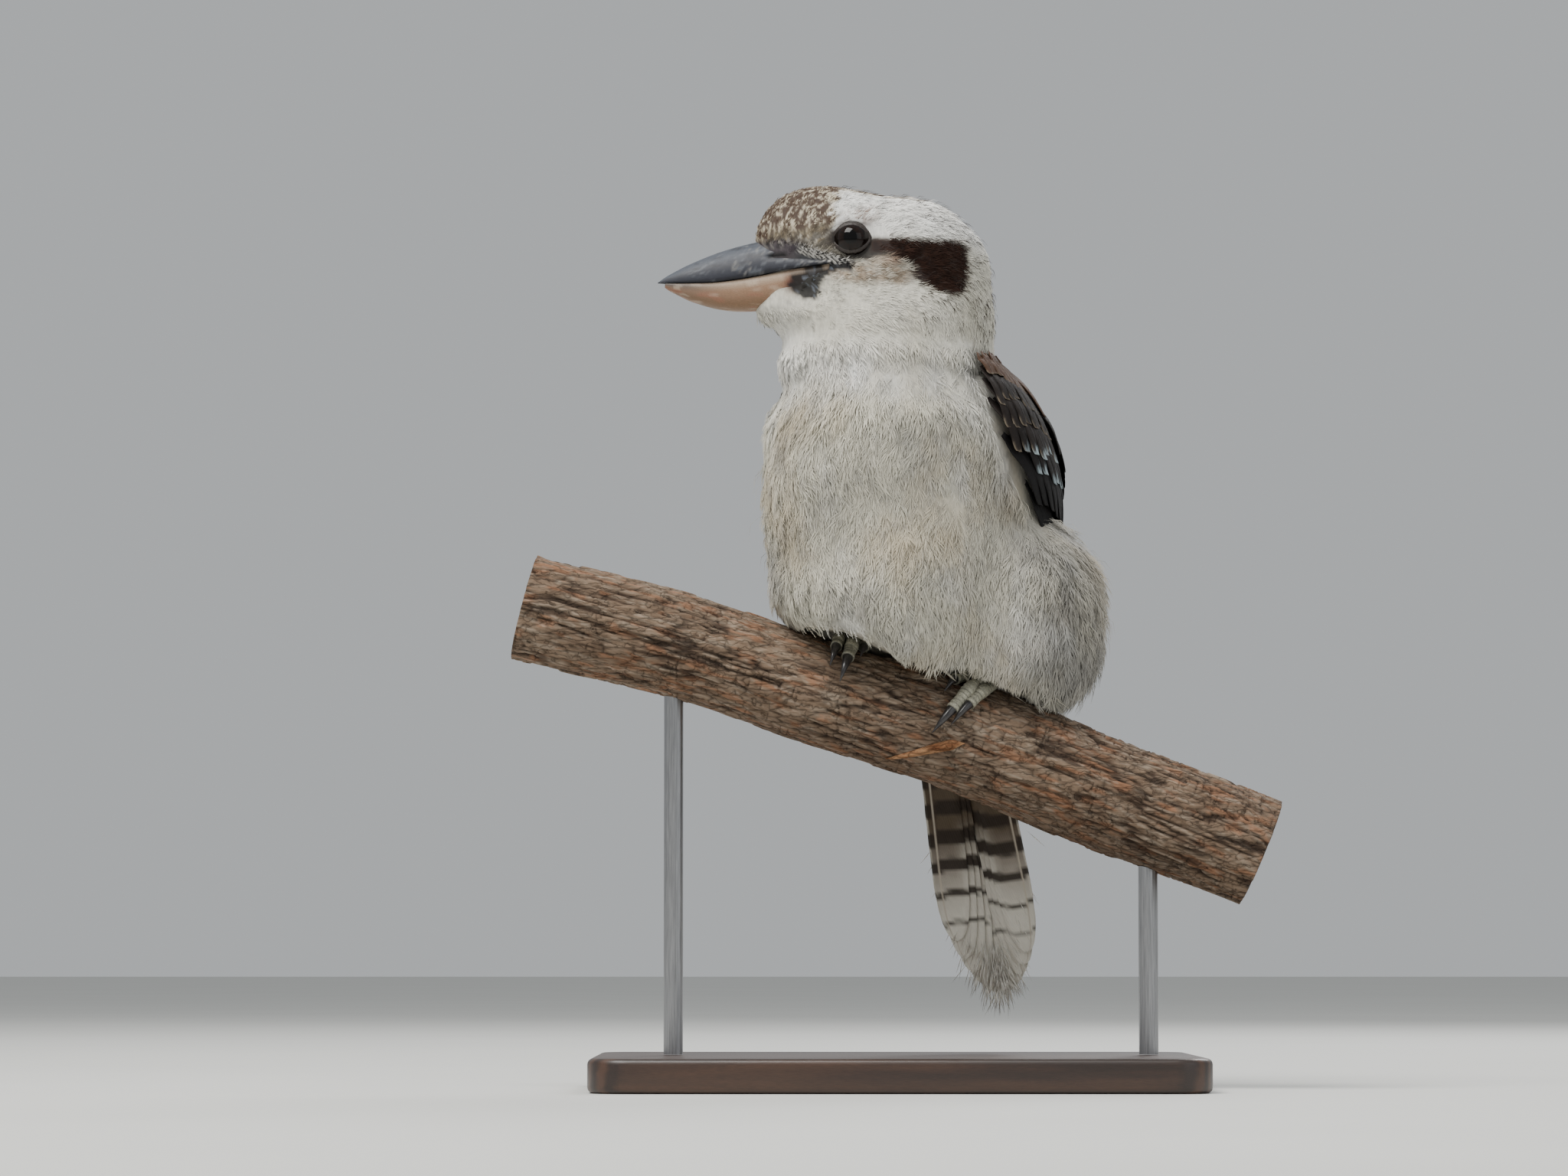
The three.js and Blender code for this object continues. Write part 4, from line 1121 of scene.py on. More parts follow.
add_loose("coat_loose_body", 1700, rear_of_body, 20.0, 24.0, 0.2)
add_loose("coat_loose_head", 900, nape_and_crown, 9.0, 18.0, 0.22)
add_loose("coat_dark_hairs", 700, nape_and_crown, 9.5, 22.0, 0.26, linear(54, 44, 40))

# %% [markdown]
# Wing and tail feathers
#
# A flight feather is a flat vane on a stiff shaft, cambered across and rounded at its tip. One small closed
# grid is the pattern for all of them, and arrays bend a copy of it along each feather's path over the
# wing's bed, in the same tiers as the part's solids but finer and more of them. The pale tips of the
# coverts are painted by the same arrays.

# %% A feather's pattern, and feathers from it


def feather_pattern(along, across):
    """A closed thin grid: how far along and across each point is, which face it is on, and the faces."""
    bm = bmesh.new()
    bmesh.ops.create_grid(bm, x_segments=along, y_segments=across, size=1.0)
    bmesh.ops.solidify(bm, geom=bm.faces[:], thickness=1.0)
    bmesh.ops.recalc_face_normals(bm, faces=bm.faces[:])
    points = np.array([v.co[:] for v in bm.verts])
    faces = np.array([[v.index for v in face.verts] for face in bm.faces])
    bm.free()
    upper = points[:, 2] > points[:, 2].mean()
    return (points[:, 0] + 1) / 2, points[:, 1], upper.astype(float), faces


PATTERN = feather_pattern(16, 10)
PATH_STEPS = 32
print("faces in a feather", len(PATTERN[3]))

# %% Bend a feather along a path, and join many


def feather(
    path, length, width, tilt, tip_shape=0.0, camber=0.10, thick=0.35, seed=0, lean=0.0, pattern=PATTERN
):
    """One feather's points, and how far along, across and up each is.

    The path gives a place and the way out at each distance, and lean moves the shaft across the vane.
    """
    t, v, upper, _ = pattern
    v = np.sign(v) * np.abs(v) ** 1.25
    steps = np.linspace(0, 1, PATH_STEPS + 1)
    place, out = path(steps * length)
    ahead, _ = path(steps * length + 0.5)
    way = ahead - place
    way /= np.linalg.norm(way, axis=1, keepdims=True)
    out = out - (out * way).sum(1, keepdims=True) * way
    out /= np.linalg.norm(out, axis=1, keepdims=True)
    across = np.cross(way, out)
    near = t * PATH_STEPS
    low = np.minimum(near.astype(int), PATH_STEPS - 1)
    share = (near - low)[:, None]
    place, out, across = (mix(value[low], value[low + 1], share) for value in (place, out, across))
    start = 0.74 - 0.3 * tip_shape
    tip = np.clip((t - start) / (1 - start), 0, 1)
    half = width / 2 * np.sqrt(np.clip(1 - tip ** (2.6 - tip_shape), 0, 1)) * mix(0.45, 1, smooth(t, 0, 0.22))
    ragged = noise(np.stack([t * 40, v * 9 + 31.7 * seed, 0 * t + seed], -1), 2.2, 3) - 0.5
    half = half * (1 + 0.10 * ragged * np.abs(v) ** 3)
    shaft = 0.28 * (np.abs(v) < 0.06) * (1 - 0.7 * t)
    lift = shaft - camber * width * v**2 + 0.12 * ragged + (upper - 0.5) * (thick * (1 - 0.6 * t)) + v * tilt
    return place + across * ((v + lean * (1 - v * v)) * half)[:, None] + out * lift[:, None], t, v, upper


class Plumes:
    """Feathers gathered for one joined mesh."""

    def __init__(self, pattern=PATTERN):
        self.pattern = pattern
        self.places, self.colours, self.flat = [], [], []

    def add(self, made, colours, flat):
        self.places.append(made[0])
        self.colours.append(colours)
        self.flat.append(np.stack([flat[0] + 0.02 * made[2], flat[1] - 0.04 * made[1]], -1))

    def mesh(self, name):
        size = len(self.pattern[0])
        corners = self.pattern[3]
        shift = size * np.arange(len(self.places))[:, None, None]
        faces = (corners[None] + shift).reshape(-1, corners.shape[1])
        mesh = joined_mesh(name, np.concatenate(self.places), faces)
        paint(mesh, "marking", np.concatenate(self.colours))
        uv = np.concatenate(self.flat)[faces.ravel()]
        mesh.uv_layers.new(name="UVMap").uv.foreach_set("vector", uv.astype(np.float32).ravel())
        return mesh


print("feathers ready to bend along", PATH_STEPS, "steps")

# %% [markdown]
# The folded wings
#
# Each wing is ten rows of feathers: primaries and secondaries, five rows of coverts over them, a row at the
# shoulder, and two rows of scapulars along the back. Each row is laid from its own line of the table, so
# that a row can be moved or thinned by itself. Later rows lie higher and overlap the earlier ones, as on
# the bird.

# %% The wing's rows and colours
WING_BLACK = linear(14, 12, 13)
WING_BROWN = linear(34, 27, 24)
EDGE_TAN = linear(152, 138, 120)
TIP_BLUE = linear(166, 180, 186)
SHOULDER = linear(84, 60, 44)

# Number of feathers, heights of roots and of tips from front to back, the row's start across the wing,
# lifts at root, middle and tip, and a feather's width.
WING_TIERS = {
    "primaries": (8, (42, 42), (-42, -58), 0.3, (0.5, 1.2, 1.2), 8.5),
    "secondaries": (16, (72, 72), (14, -22), 0.0, (0.5, 2.6, 2.4), 7.5),
    "greater_coverts": (15, (92, 92), (62, 50), 0.0, (0.6, 4.2, 3.9), 8.5),
    "rear_coverts": (13, (101, 100), (76, 66), 0.1, (0.8, 5.2, 4.9), 8.5),
    "median_coverts": (15, (106, 106), (85, 77), 0.0, (0.8, 6.1, 5.7), 8.5),
    "lesser_coverts": (16, (113, 113), (95, 90), 0.0, (3.5, 7.3, 6.6), 8.0),
    "small_coverts": (16, (119, 119), (104, 100), 0.0, (5.5, 8.3, 7.6), 7.5),
    "shoulder": (16, (125, 125), (113, 110), 0.02, (5.5, 8.6, 8.4), 7.0),
    "scapulars": (10, (112, 112), (84, 52), 0.6, (5, 10.5, 9), 11.0),
    "upper_scapulars": (9, (124, 123), (102, 88), 0.55, (6, 10.5, 10), 9.0),
}
print("rows in a wing", len(WING_TIERS), "feathers", sum(row[0] for row in WING_TIERS.values()))

# %% The way of a feather over the wing's bed


def bed_point(side, height, angle, lift):
    height, angle, lift = np.broadcast_arrays(height, angle, lift)
    radius = trunk_radius(height) + lift
    local = [trunk_centre(height) + radius * np.cos(angle), side * radius * np.sin(angle), height]
    return out_of(BIRD, np.stack(local, -1))


def bed_angle(share, height, inset):
    edge = np.degrees(inset / trunk_radius(height))
    return np.radians(mix(vane_front(height) + edge, wing_back(height) - edge, share))


def with_way_out(surface, *where):
    """A place on a surface and the way out from it there. The last number of where is the lift."""
    place = surface(*where)
    return place, surface(*where[:-1], where[-1] + 1) - place


def wing_path(side, root, tip, share, lifts, width):
    angles = [bed_angle(share, height, 0.45 * width) for height in (root, tip)]
    lift = profile([(0, lifts[0]), (0.4, lifts[1]), (1, lifts[2])])

    def path(distance):
        along = distance / (root - tip)
        angle = mix(angles[0], angles[1], along)
        return with_way_out(bed_point, side, root - distance, angle, lift(along))

    return path


print("first feather's root", bed_point(1, 42.0, 2.5, 0.5).round(1))

# %% [markdown]
# Colours of the wing
#
# The wing is black-brown, browner towards the shoulder. Worn feathers of the small rows have pale fringes,
# and two rows of coverts end in the pale blue-grey that this kookaburra shows. The colours are stored on
# the feathers' own points, because a pattern in the finish couldn't know where on its feather a point lies.

# %% Paint and lay the wing feathers
BROWNNESS = {"primaries": 0.1, "secondaries": 0.0, "greater_coverts": 0.05, "rear_coverts": 0.4}


def wing_colours(name, made, share, pick):
    """Colours for one feather. Share is its place in its row, and pick is its own chance number."""
    _, t, v, _ = made
    rim = smooth(np.abs(v), 0.7, 0.95)
    colours = lay(WING_BLACK, WING_BROWN, BROWNNESS.get(name, 0.8) * (0.6 + 0.6 * pick))
    if name in ("shoulder", "upper_scapulars"):
        colours = lay(colours, SHOULDER, 0.75)
    if name in ("median_coverts", "lesser_coverts", "small_coverts", "shoulder"):
        fringe = np.maximum(rim * smooth(t, 0.72, 0.86), smooth(t, 0.93, 0.98))
        colours = lay(colours, EDGE_TAN, fringe * (0.35 + 0.5 * pick))
    if name in ("rear_coverts", "median_coverts"):
        reach_back = smooth(share, 0.02, 0.1) * (1 - smooth(share, 0.55, 0.8)) * (pick > 0.12)
        tip = smooth(t + 0.04 * np.sin(9 * v + 6 * pick) - 0.06 * np.abs(v), 0.8, 0.9) * (np.abs(v) > 0.1)
        colours = lay(colours, TIP_BLUE, tip * reach_back * (0.6 + 0.4 * pick))
    colours = lay(colours, linear(10, 8, 8), 0.6 * (np.abs(v) < 0.06))
    barbs = 0.85 + 0.3 * noise(np.stack([t * 60 - 14 * np.abs(v), v * 3, 0 * t + 9 * pick], -1), 1.0, 4)
    return colours * barbs[:, None]


def make_wing(side):
    plumes = Plumes()
    for row, (name, (count, root, tip, start, lifts, width)) in enumerate(WING_TIERS.items()):
        for i in range(count):
            k = i / (count - 1)
            share = mix(start, 1.0, k)
            pick = float(draw.random())
            high = mix(root[0], root[1], k) + draw.uniform(-1, 1)
            low = mix(tip[0], tip[1], k) + 1.5 * math.sin(7 * i + row) + draw.uniform(-1.5, 1.5)
            raised = tuple(value + draw.uniform(-0.25, 0.25) for value in lifts)
            path = wing_path(side, high, low, share, raised, width)
            pointed = 0.5 * (name == "primaries")
            made = feather(path, high - low, width, 0.9 * side, pointed, seed=i + 20 * row)
            plumes.add(made, wing_colours(name, made, share, pick), (0.1 + 0.07 * i, 0.9 - 0.09 * row))
    return plumes.mesh("wing_feathers_" + ("left" if side > 0 else "right"))


vane_finish = Finish("vane_finish", 0.65, Specular_IOR_Level=0.2)
vane_finish.colour(vane_finish.attribute("marking"))
vane_finish.rough(vane_finish.noise(vane_finish.place(), 500.0, 2.0), 0.55, 0.8)
feather_uv = vane_finish.node("ShaderNodeUVMap", uv_map="UVMap").outputs["UV"]
line_sizes = {"Vector": feather_uv, "Scale": 420.0, "Distortion": 2.0}
barb_lines = vane_finish.node("ShaderNodeTexWave", line_sizes, bands_direction="DIAGONAL")
vane_finish.bump(barb_lines.outputs["Fac"], 0.0002, 0.35)

for side, name in ((1, "left"), (-1, "right")):
    wing_mesh = make_wing(side)
    wing = new_object("wing_feathers_" + name, wing_mesh, "dark_plumage", vane_finish)
    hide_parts("wing_" + name)
    print("wing", name, "feathers", len(wing_mesh.polygons) // len(PATTERN[3]))

# %% [markdown]
# The mantle
#
# Between the wings the upper back is covered by rows of plain dark brown feathers, which overlap like roof
# tiles and close the space between the two shoulders. They lie on the same bed as the wings, a little lower
# than the scapulars.

# %% Lay the mantle between the wings
MANTLE_ROOTS = (86, 94, 102, 110, 117, 123)
MANTLE_FALL = 26


def mantle_path(root, angle, lifts):
    lift = profile([(0, lifts[0]), (0.5, lifts[1]), (1, lifts[1] + 0.6)])

    def path(distance):
        return with_way_out(bed_point, 1, root - distance, angle, lift(distance / MANTLE_FALL))

    return path


mantle_plumes = Plumes()
for row, root in enumerate(MANTLE_ROOTS):
    for i in range(9):
        angle = np.radians(180 + 8.6 * (i - 4 + 0.5 * (row % 2)) + draw.uniform(-1, 1))
        path = mantle_path(root + draw.uniform(-1, 1), angle, (1.5, 4.2 + 0.25 * row))
        made = feather(path, 25.0, 9.5, 0.3, 0.0, seed=200 + i + 10 * row)
        tone = lay(BACK, SHOULDER, 0.25 + 0.35 * float(draw.random()))
        tone = lay(tone, linear(16, 12, 11), 0.5 * (np.abs(made[2]) < 0.06))
        mantle_plumes.add(made, tone, (0.1 + 0.08 * i, 0.9 - 0.1 * row))
new_object("mantle_feathers", mantle_plumes.mesh("mantle_feathers"), "dark_plumage", vane_finish)
print("mantle feathers", len(mantle_plumes.places))

# %% [markdown]
# The tail
#
# Twelve feathers hang behind the branch, the middle pair longest and at the back, so that from in front the
# paler undersides show: grey-white with dark bars that thin out downwards, white ends and pale outer edges.
# The upper side is rufous with black bars. Loose white barbs fray the tip.

# %% The tail's frame and colours
down_way = np.array([math.sin(math.radians(9.5)), math.sin(math.radians(11)), -1])
down_way /= np.linalg.norm(down_way)
tail_left = np.array([math.cos(math.radians(22)), -math.sin(math.radians(22)), 0])
tail_left -= tail_left.dot(-down_way) * -down_way
tail_left /= np.linalg.norm(tail_left)
TAIL = (np.stack([tail_left, np.cross(-down_way, tail_left), -down_way], 1), np.array([22.0, 30.0, 182.0]))
TAIL_LENGTH = 148.0
BAR_SPACING = 12.3
BAR_PLACE = 73

TAIL_WHITE = linear(228, 224, 212)
TAIL_GREY = linear(164, 156, 146)
# Painted shadow: the darker grey-brown of the underside near the root, which hangs in the branch's shade.
PAINTED_TAIL_SHADOW = linear(86, 74, 60)
BAR = linear(44, 36, 30)
RUFOUS = linear(140, 95, 64)


def tail_path(root, spread, bow):
    def path(distance):
        local = np.stack([root[0] + spread * distance, root[1] + bow * distance**2, root[2] - distance], -1)
        place = out_of(TAIL, local)
        return place, np.tile(TAIL[0][:, 1], (len(place), 1))

    return path


def tail_colours(made, side, i, begin, length):
    """Colours for feather i of one side, counted from the middle. Its bars follow the whole tail's length."""
    _, t, v, upper = made
    distance = begin + t * length
    shift = -6.2 if side < 0 else 0.0
    wave = 0.9 * np.sin(3 * v + 1.3 * i) + 1.2 * np.abs(v)
    nearest = np.abs((distance + wave - BAR_PLACE - shift + BAR_SPACING * 8) % BAR_SPACING - BAR_SPACING / 2)
    broad = mix(3.1, 0.75, smooth(distance, 84, 112))
    bars = smooth(broad - (BAR_SPACING / 2 - nearest), -0.5, 0.4) * (1 - smooth(distance, 118, 128))
    # The underside is laid darker towards its root as painted shadow of the branch.
    below = lay(PAINTED_TAIL_SHADOW, TAIL_GREY, smooth(distance, 72, 100))
    below = lay(below, TAIL_WHITE, smooth(distance, 90, 118))
    outer = smooth(v * side * (1 if i else 0), 0.35, 0.6)
    below = lay(below, TAIL_WHITE, outer * 0.8)
    below = lay(below, BAR, bars * 0.92)
    above = lay(RUFOUS, BRIGHT, smooth(distance, 118, 127) * (0.5 + 0.1 * i))
    above = lay(above, linear(30, 25, 23), bars)
    colours = mix(below, above, upper[:, None])
    faded = 1 - smooth(distance, 66, 98)
    colours = lay(colours, linear(196, 186, 170), (np.abs(v) < 0.06) * 0.9)
    beside_shaft = smooth(np.abs(v), 0.06, 0.09) * (1 - smooth(np.abs(v), 0.12, 0.2))
    colours = lay(colours, linear(60, 46, 38), 0.5 * beside_shaft * faded)
    colours = lay(colours, TAIL_WHITE, smooth(np.abs(v), 0.78, 0.94) * 0.8 * (1 - faded) * (1 - bars))
    barbs = noise(np.stack([t * 90 - 20 * np.abs(v), 4 * v, 0 * t + i], -1), 1.0, 7)
    return colours * (0.94 + 0.12 * barbs)[:, None]


print("tail hangs along", (-TAIL[0][:, 2]).round(2))

# %% Hang the tail feathers
TAIL_PATTERN = feather_pattern(70, 14)
TAIL_ROOT = 12.0

tail_plumes = Plumes(TAIL_PATTERN)
for side in (-1, 1):
    for i in range(6):
        root = (side * mix(1.5, 9, i / 5), 1.9 - 0.8 * i + side * 0.22, -TAIL_ROOT)
        length = TAIL_LENGTH - TAIL_ROOT - (0.45 if side > 0 else 0.75) * i * i - 1.2 * i
        path = tail_path(root, side * mix(0.004, 0.052, i / 5), 0.0)
        shaft = side * (0.62 if i > 2 else 0.3)
        seed = 40 + i + 7 * side
        made = feather(path, length, 16.0, 0.0, 0.15, 0.02, 0.4, seed, shaft, TAIL_PATTERN)
        colours = tail_colours(made, side, i, TAIL_ROOT, length)
        tail_plumes.add(made, colours, (0.5 + 0.06 * side * (i + 1), 0.9))
tail_mesh = tail_plumes.mesh("tail_feathers")
tail_feathers = new_object("tail_feathers", tail_mesh, "barred_plumage", vane_finish)
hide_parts("tail")
print("tail faces", len(tail_mesh.polygons))

# %% [markdown]
# The frayed tip and the tail's root
#
# Wear splits the ends of the tail feathers into loose barbs. They are the coat's spindles again, thicker
# and longer, spread over the tip. Where the tail leaves the body, short coverts overlap its root above and
# below, so that no feather starts in the open.

# %% Fray the tip


def spindles(name, start, way, length, thick, shade):
    """A few straight barbs of one shade, such as the loose tips of the tail."""
    side = np.cross(way, [0.0, 1.0, 0.0])
    side /= np.linalg.norm(side, axis=1, keepdims=True)
    up = np.cross(side, way)
    bend = start + way * (0.45 * length)[:, None]
    half = thick / 2
    places = np.stack(
        [start, bend + side * half, bend - side * half, bend + up * half, start + way * length[:, None]], 1
    )
    faces = (BARB_FACES[None] + BARB_POINTS * np.arange(len(start))[:, None, None]).reshape(-1, 3)
    mesh = joined_mesh(name, places.reshape(-1, 3), faces)
    paint(mesh, "marking", np.tile(shade, (len(mesh.vertices), 1)))
    return mesh


def make_wisps(count):
    spread = draw.normal(0, 0.3, count)
    behind = draw.uniform(-2.5, 2.5, count)
    up = -138 + 42 * spread**2 + draw.uniform(-8, 14, count)
    sideways = spread * 0.8 + draw.normal(0, 0.22, count)
    way = np.stack([sideways, draw.normal(-0.1, 0.15, count), -np.ones(count)], -1)
    way = (way / np.linalg.norm(way, axis=1, keepdims=True)) @ TAIL[0].T
    starts = out_of(TAIL, np.stack([20 * spread, behind, up], -1))
    return spindles("tail_wisps", starts, way, draw.uniform(6, 15, count), 0.36, linear(242, 239, 230))


wisps = make_wisps(460)
new_object("tail_wisps", wisps, "barred_plumage", down_finish)
print("tail wisps", len(wisps.polygons) // len(BARB_FACES))

# %% Cover the tail's root
covert_plumes = Plumes()
for face in (-1, 1):
    for row in range(3):
        for i in range(7):
            k = i - 3
            root = (k * 4.8, face * (5.0 - 0.7 * row) - 0.4, 6 - 7 * row - 1.2 * abs(k))
            path = tail_path(root, k * 0.016, -face * 0.0008)
            length = 46 - 3.5 * abs(k) - 3 * row
            made = feather(path, length, 11.0, 0.5, 0.0, thick=0.4, seed=90 + i + 9 * row)
            bars = smooth(np.sin((made[1] * length + row) / 1.7), 0.2, 0.6)
            upper_side = lay(RUMP, linear(44, 34, 30), bars * 0.8)
            lower_side = lay(WHITE, BUFF, np.full(len(bars), 0.4))
            covert_plumes.add(made, upper_side if face > 0 else lower_side, (0.4 + 0.03 * i, 0.3))
new_object("tail_coverts", covert_plumes.mesh("tail_coverts"), "barred_plumage", vane_finish)
print("tail coverts", len(covert_plumes.places))

# %% [markdown]
# The bill
#
# A kookaburra's bill is long and boat-shaped: a slate upper half with a rounded ridge and a slit nostril
# near its base, over a horn-coloured lower half. Each half is a grid wrapped into a tube, drawn through
# named outlines of ridge, mouth line, keel and width, so that both halves meet along the mouth's curve.

# %% A grid wrapped into a closed tube


def wrapped(name, rings, colours=None):
    """A closed mesh through rings of points in millimetres. A ring of equal points closes an end."""
    rows, around, _ = rings.shape
    bm = bmesh.new()
    bmesh.ops.create_grid(bm, x_segments=rows - 1, y_segments=around, size=1.0)
    shade = bm.verts.layers.float_color.new("marking")
    for v in bm.verts:
        row = round((v.co.x + 1) / 2 * (rows - 1))
        column = round((v.co.y + 1) / 2 * around) % around
        v.co = rings[row, column] * MM
        if colours is not None:
            v[shade] = (*colours[row, column], 1.0)
    bmesh.ops.remove_doubles(bm, verts=bm.verts[:], dist=1e-7)
    bmesh.ops.recalc_face_normals(bm, faces=bm.faces[:])
    if sum(face.calc_area() * face.normal.dot(face.calc_center_median()) for face in bm.faces) < 0:
        bmesh.ops.reverse_faces(bm, faces=bm.faces[:])
    for face in bm.faces:
        face.smooth = True
    mesh = bpy.data.meshes.new(name)
    bm.to_mesh(mesh)
    bm.free()
    return mesh


def ends_closed(rings):
    """Adds a middle point to each end."""
    first = np.repeat(rings[:1].mean(1, keepdims=True), rings.shape[1], axis=1)
    last = np.repeat(rings[-1:].mean(1, keepdims=True), rings.shape[1], axis=1)
    return np.concatenate([first, rings, last])


print("wrapping ready")

# %% The bill's outlines
TIP_FORWARD = 95.6
TIP_UP = -13.3
MOUTH_GAP = 0.4
NOSTRIL_BACK = 49
NOSTRIL_REACH = 3.8
NOSTRIL_HALF = 0.8
culmen = profile(
    [(0, 0.4), (3, 2.6), (8.6, 5.8), (14, 8.5), (25, 13), (37, 16.6), (46, 18), (58, 15), (69, 11), (77, 9.4)]
)
mouth_line = profile([(0, 0), (20, -0.3), (31, 0.6), (42, 2.3), (54, 4.3), (65, 5.7), (77, 7.2), (82, 7.4)])
keel = profile(
    [(2, -0.9), (4.4, -2.7), (8.6, -4.9), (14, -7.4), (25, -10.5), (36, -11.4), (52, -10), (72, -6)]
)
bill_width = profile(
    [(0, 0.7), (5, 3), (14, 6.2), (28, 9.6), (42, 12.4), (52, 16), (62, 19.5), (72, 22.4), (82, 21)]
)


def nostril(d, z):
    """How deep in the slit a place is, and how far above its middle line."""
    above = (z - (-2.9 + 0.10 * (d - NOSTRIL_BACK))) / NOSTRIL_HALF
    return np.exp(-(((d - NOSTRIL_BACK) / NOSTRIL_REACH) ** 4) - above**2), above


def bill_rings(upper):
    """Rings from the tip back, and for each point its distance back, side, height and share of the rise."""
    sign = 1 if upper else -1
    tip, behind_tip, first, last = (0, 0.7, 1.6, 77) if upper else (3, 3.4, 4.2, 70)
    back = np.concatenate([[tip, behind_tip], np.linspace(first, last, 76)])
    angle = np.linspace(0, math.pi, 41)
    rings, marks = [], []
    for d in back:
        edge = TIP_UP + mouth_line(d) + sign * MOUTH_GAP / 2
        top = TIP_UP + (culmen if upper else keel)(d)
        half = bill_width(d) * (1 if upper else 0.94)
        arch_y = half * np.cos(angle) * (1 - 0.05 * np.sin(angle) ** 2)
        arch_z = edge + (top - edge) * np.sin(angle) ** (0.85 if upper else 0.6)
        flat_y = half * np.linspace(-0.93, 0.93, 12)
        flat_z = edge + sign * 0.25 * (1 - np.linspace(-1, 1, 12) ** 2)
        y = np.concatenate([arch_y, flat_y])
        z = np.concatenate([arch_z, flat_z])
        if upper:
            slit, above = nostril(d, z)
            rim = 0.7 * np.exp(-(((d - NOSTRIL_BACK) / 5.2) ** 4) - ((above - 2.0) / 1.2) ** 2)
            y = y - np.sign(y) * np.where(np.abs(y) > 3, 2.0 * slit - rim, 0)
        rings.append(out_of(HEAD, np.stack([np.full(len(y), TIP_FORWARD - d), y, z], -1)))
        marks.append(np.stack([np.full(len(y), d), y, z, (z - edge) / (top - edge + 1e-6)], -1))
    return np.array(rings), np.array(marks)


upper_rings, upper_marks = bill_rings(True)
lower_rings, lower_marks = bill_rings(False)
print("bill rings", upper_rings.shape[:2], lower_rings.shape[:2])

# %% [markdown]
# Colours of the bill
#
# The horn is worn: fine pale scratches run along it, the upper half is nearly black at the mouth, with a
# painted highlight of lighter grey on its ridge, and the lower half darkens towards its tip, partly its own
# horn and partly painted shadow under the upper half's tip, and is painted darker underneath as shade. The
# colours follow each point's distance from the tip and its share of the rise from mouth to ridge, so that
# they fit both sides alike.

# %% Paint the bill


def upper_colours(marks):
    flat = marks.reshape(-1, 4)
    d, y, z, rise = flat.T
    points = np.stack([d, y, z], -1)
    # Painted highlight: the ridge is laid a lighter grey, as light falling on the top of the bill.
    ridge = 0.6 * smooth(rise, 0.4, 0.85) * (1 - smooth(d, 40, 60))
    colours = lay(linear(44, 46, 55), linear(92, 97, 106), ridge)
    colours = lay(colours, linear(28, 28, 36), 0.8 * (1 - smooth(rise, 0.02, 0.25)))
    scratches = noise(points, (5, 0.7, 0.6), 51)
    colours = lay(colours, linear(118, 122, 128), 0.35 * smooth(scratches, 0.66, 0.8) * smooth(d, 6, 20))
    specks = smooth(noise(points, 0.9, 56), 0.6, 0.75) * smooth(d, 22, 34)
    specks = 0.5 * specks * smooth(noise(points, (9, 4, 3), 57), 0.4, 0.6)
    colours = lay(colours, linear(130, 128, 124), specks)
    colours = lay(colours, linear(26, 26, 31), 0.5 * smooth(noise(points, (7, 1.6, 1.2), 52), 0.6, 0.8))
    colours = lay(colours, linear(84, 74, 80), 0.6 * smooth(d, 44, 54) * smooth(rise, 0.45, 0.7))
    x = TIP_FORWARD - d
    row, black = bristles(x, z)
    over = smooth(z - np.interp(x, (18, 40, 52, 60), (-9, -2.2, 0.8, 3.4)), 0, 1.2) * smooth(d, 40, 44)
    colours = lay(colours, mix(LORE_GREY, GREY, 0.5 * noise(points, (1.2, 0.6, 3), 59)[:, None]), over)
    colours = lay(colours, linear(214, 210, 204), row * (1 - black))
    colours = lay(colours, linear(20, 18, 19), row * black)
    # Painted shade: the nostril's slit is laid near-black.
    colours = lay(colours, linear(8, 7, 8), nostril(d, z)[0] * 1.4)
    return colours.reshape(*marks.shape[:2], 3)


def lower_colours(marks):
    flat = marks.reshape(-1, 4)
    d, y, z, drop = flat.T
    points = np.stack([d, y, z], -1)
    colours = lay(linear(150, 118, 94), linear(178, 160, 140), 0.8 * (1 - smooth(drop, 0.1, 0.4)))
    # The tip is darker, partly its own darker horn and partly painted shadow under the upper half's tip,
    # strongest by the mouth.
    dark_tip_and_painted_shadow = 0.9 * (1 - smooth(d, 4, 34)) * (1 - 0.6 * smooth(drop, 0.2, 0.6))
    colours = lay(colours, linear(86, 78, 74), dark_tip_and_painted_shadow)
    # Painted shade: the underside is laid a darker tan where it faces down.
    colours = lay(colours, linear(118, 92, 66), 0.65 * smooth(drop, 0.5, 0.95))
    colours = lay(colours, linear(214, 196, 176), 0.3 * smooth(noise(points, (8, 1.2, 1.0), 53), 0.6, 0.8))
    flushed = smooth(noise(points, (7, 2, 2), 58), 0.55, 0.75)
    colours = lay(colours, linear(164, 104, 84), 0.35 * flushed * smooth(drop, 0.3, 0.6))
    colours = lay_gape(colours, points, TIP_FORWARD - d, z, np.ones(len(d)))
    return colours.reshape(*marks.shape[:2], 3)


def pad(values):
    """Repeats the first and the last ring's colours for the closed ends."""
    return np.concatenate([values[:1], values, values[-1:]])


horn_finish = Finish("horn_finish", 0.45, Specular_IOR_Level=0.35)
fine = horn_finish.noise(horn_finish.place((1, 6, 6)), 900.0, 3.0)
grain = horn_finish.ramp(fine, [(0.3, (0.78,) * 3), (0.7, (1.1,) * 3)])
horn_finish.colour(horn_finish.blend(1.0, horn_finish.attribute("marking"), grain, "MULTIPLY"))
horn_finish.rough(horn_finish.noise(horn_finish.place(), 260.0, 3.0), 0.38, 0.6)
horn_finish.bump(fine, 0.00012, 0.4)

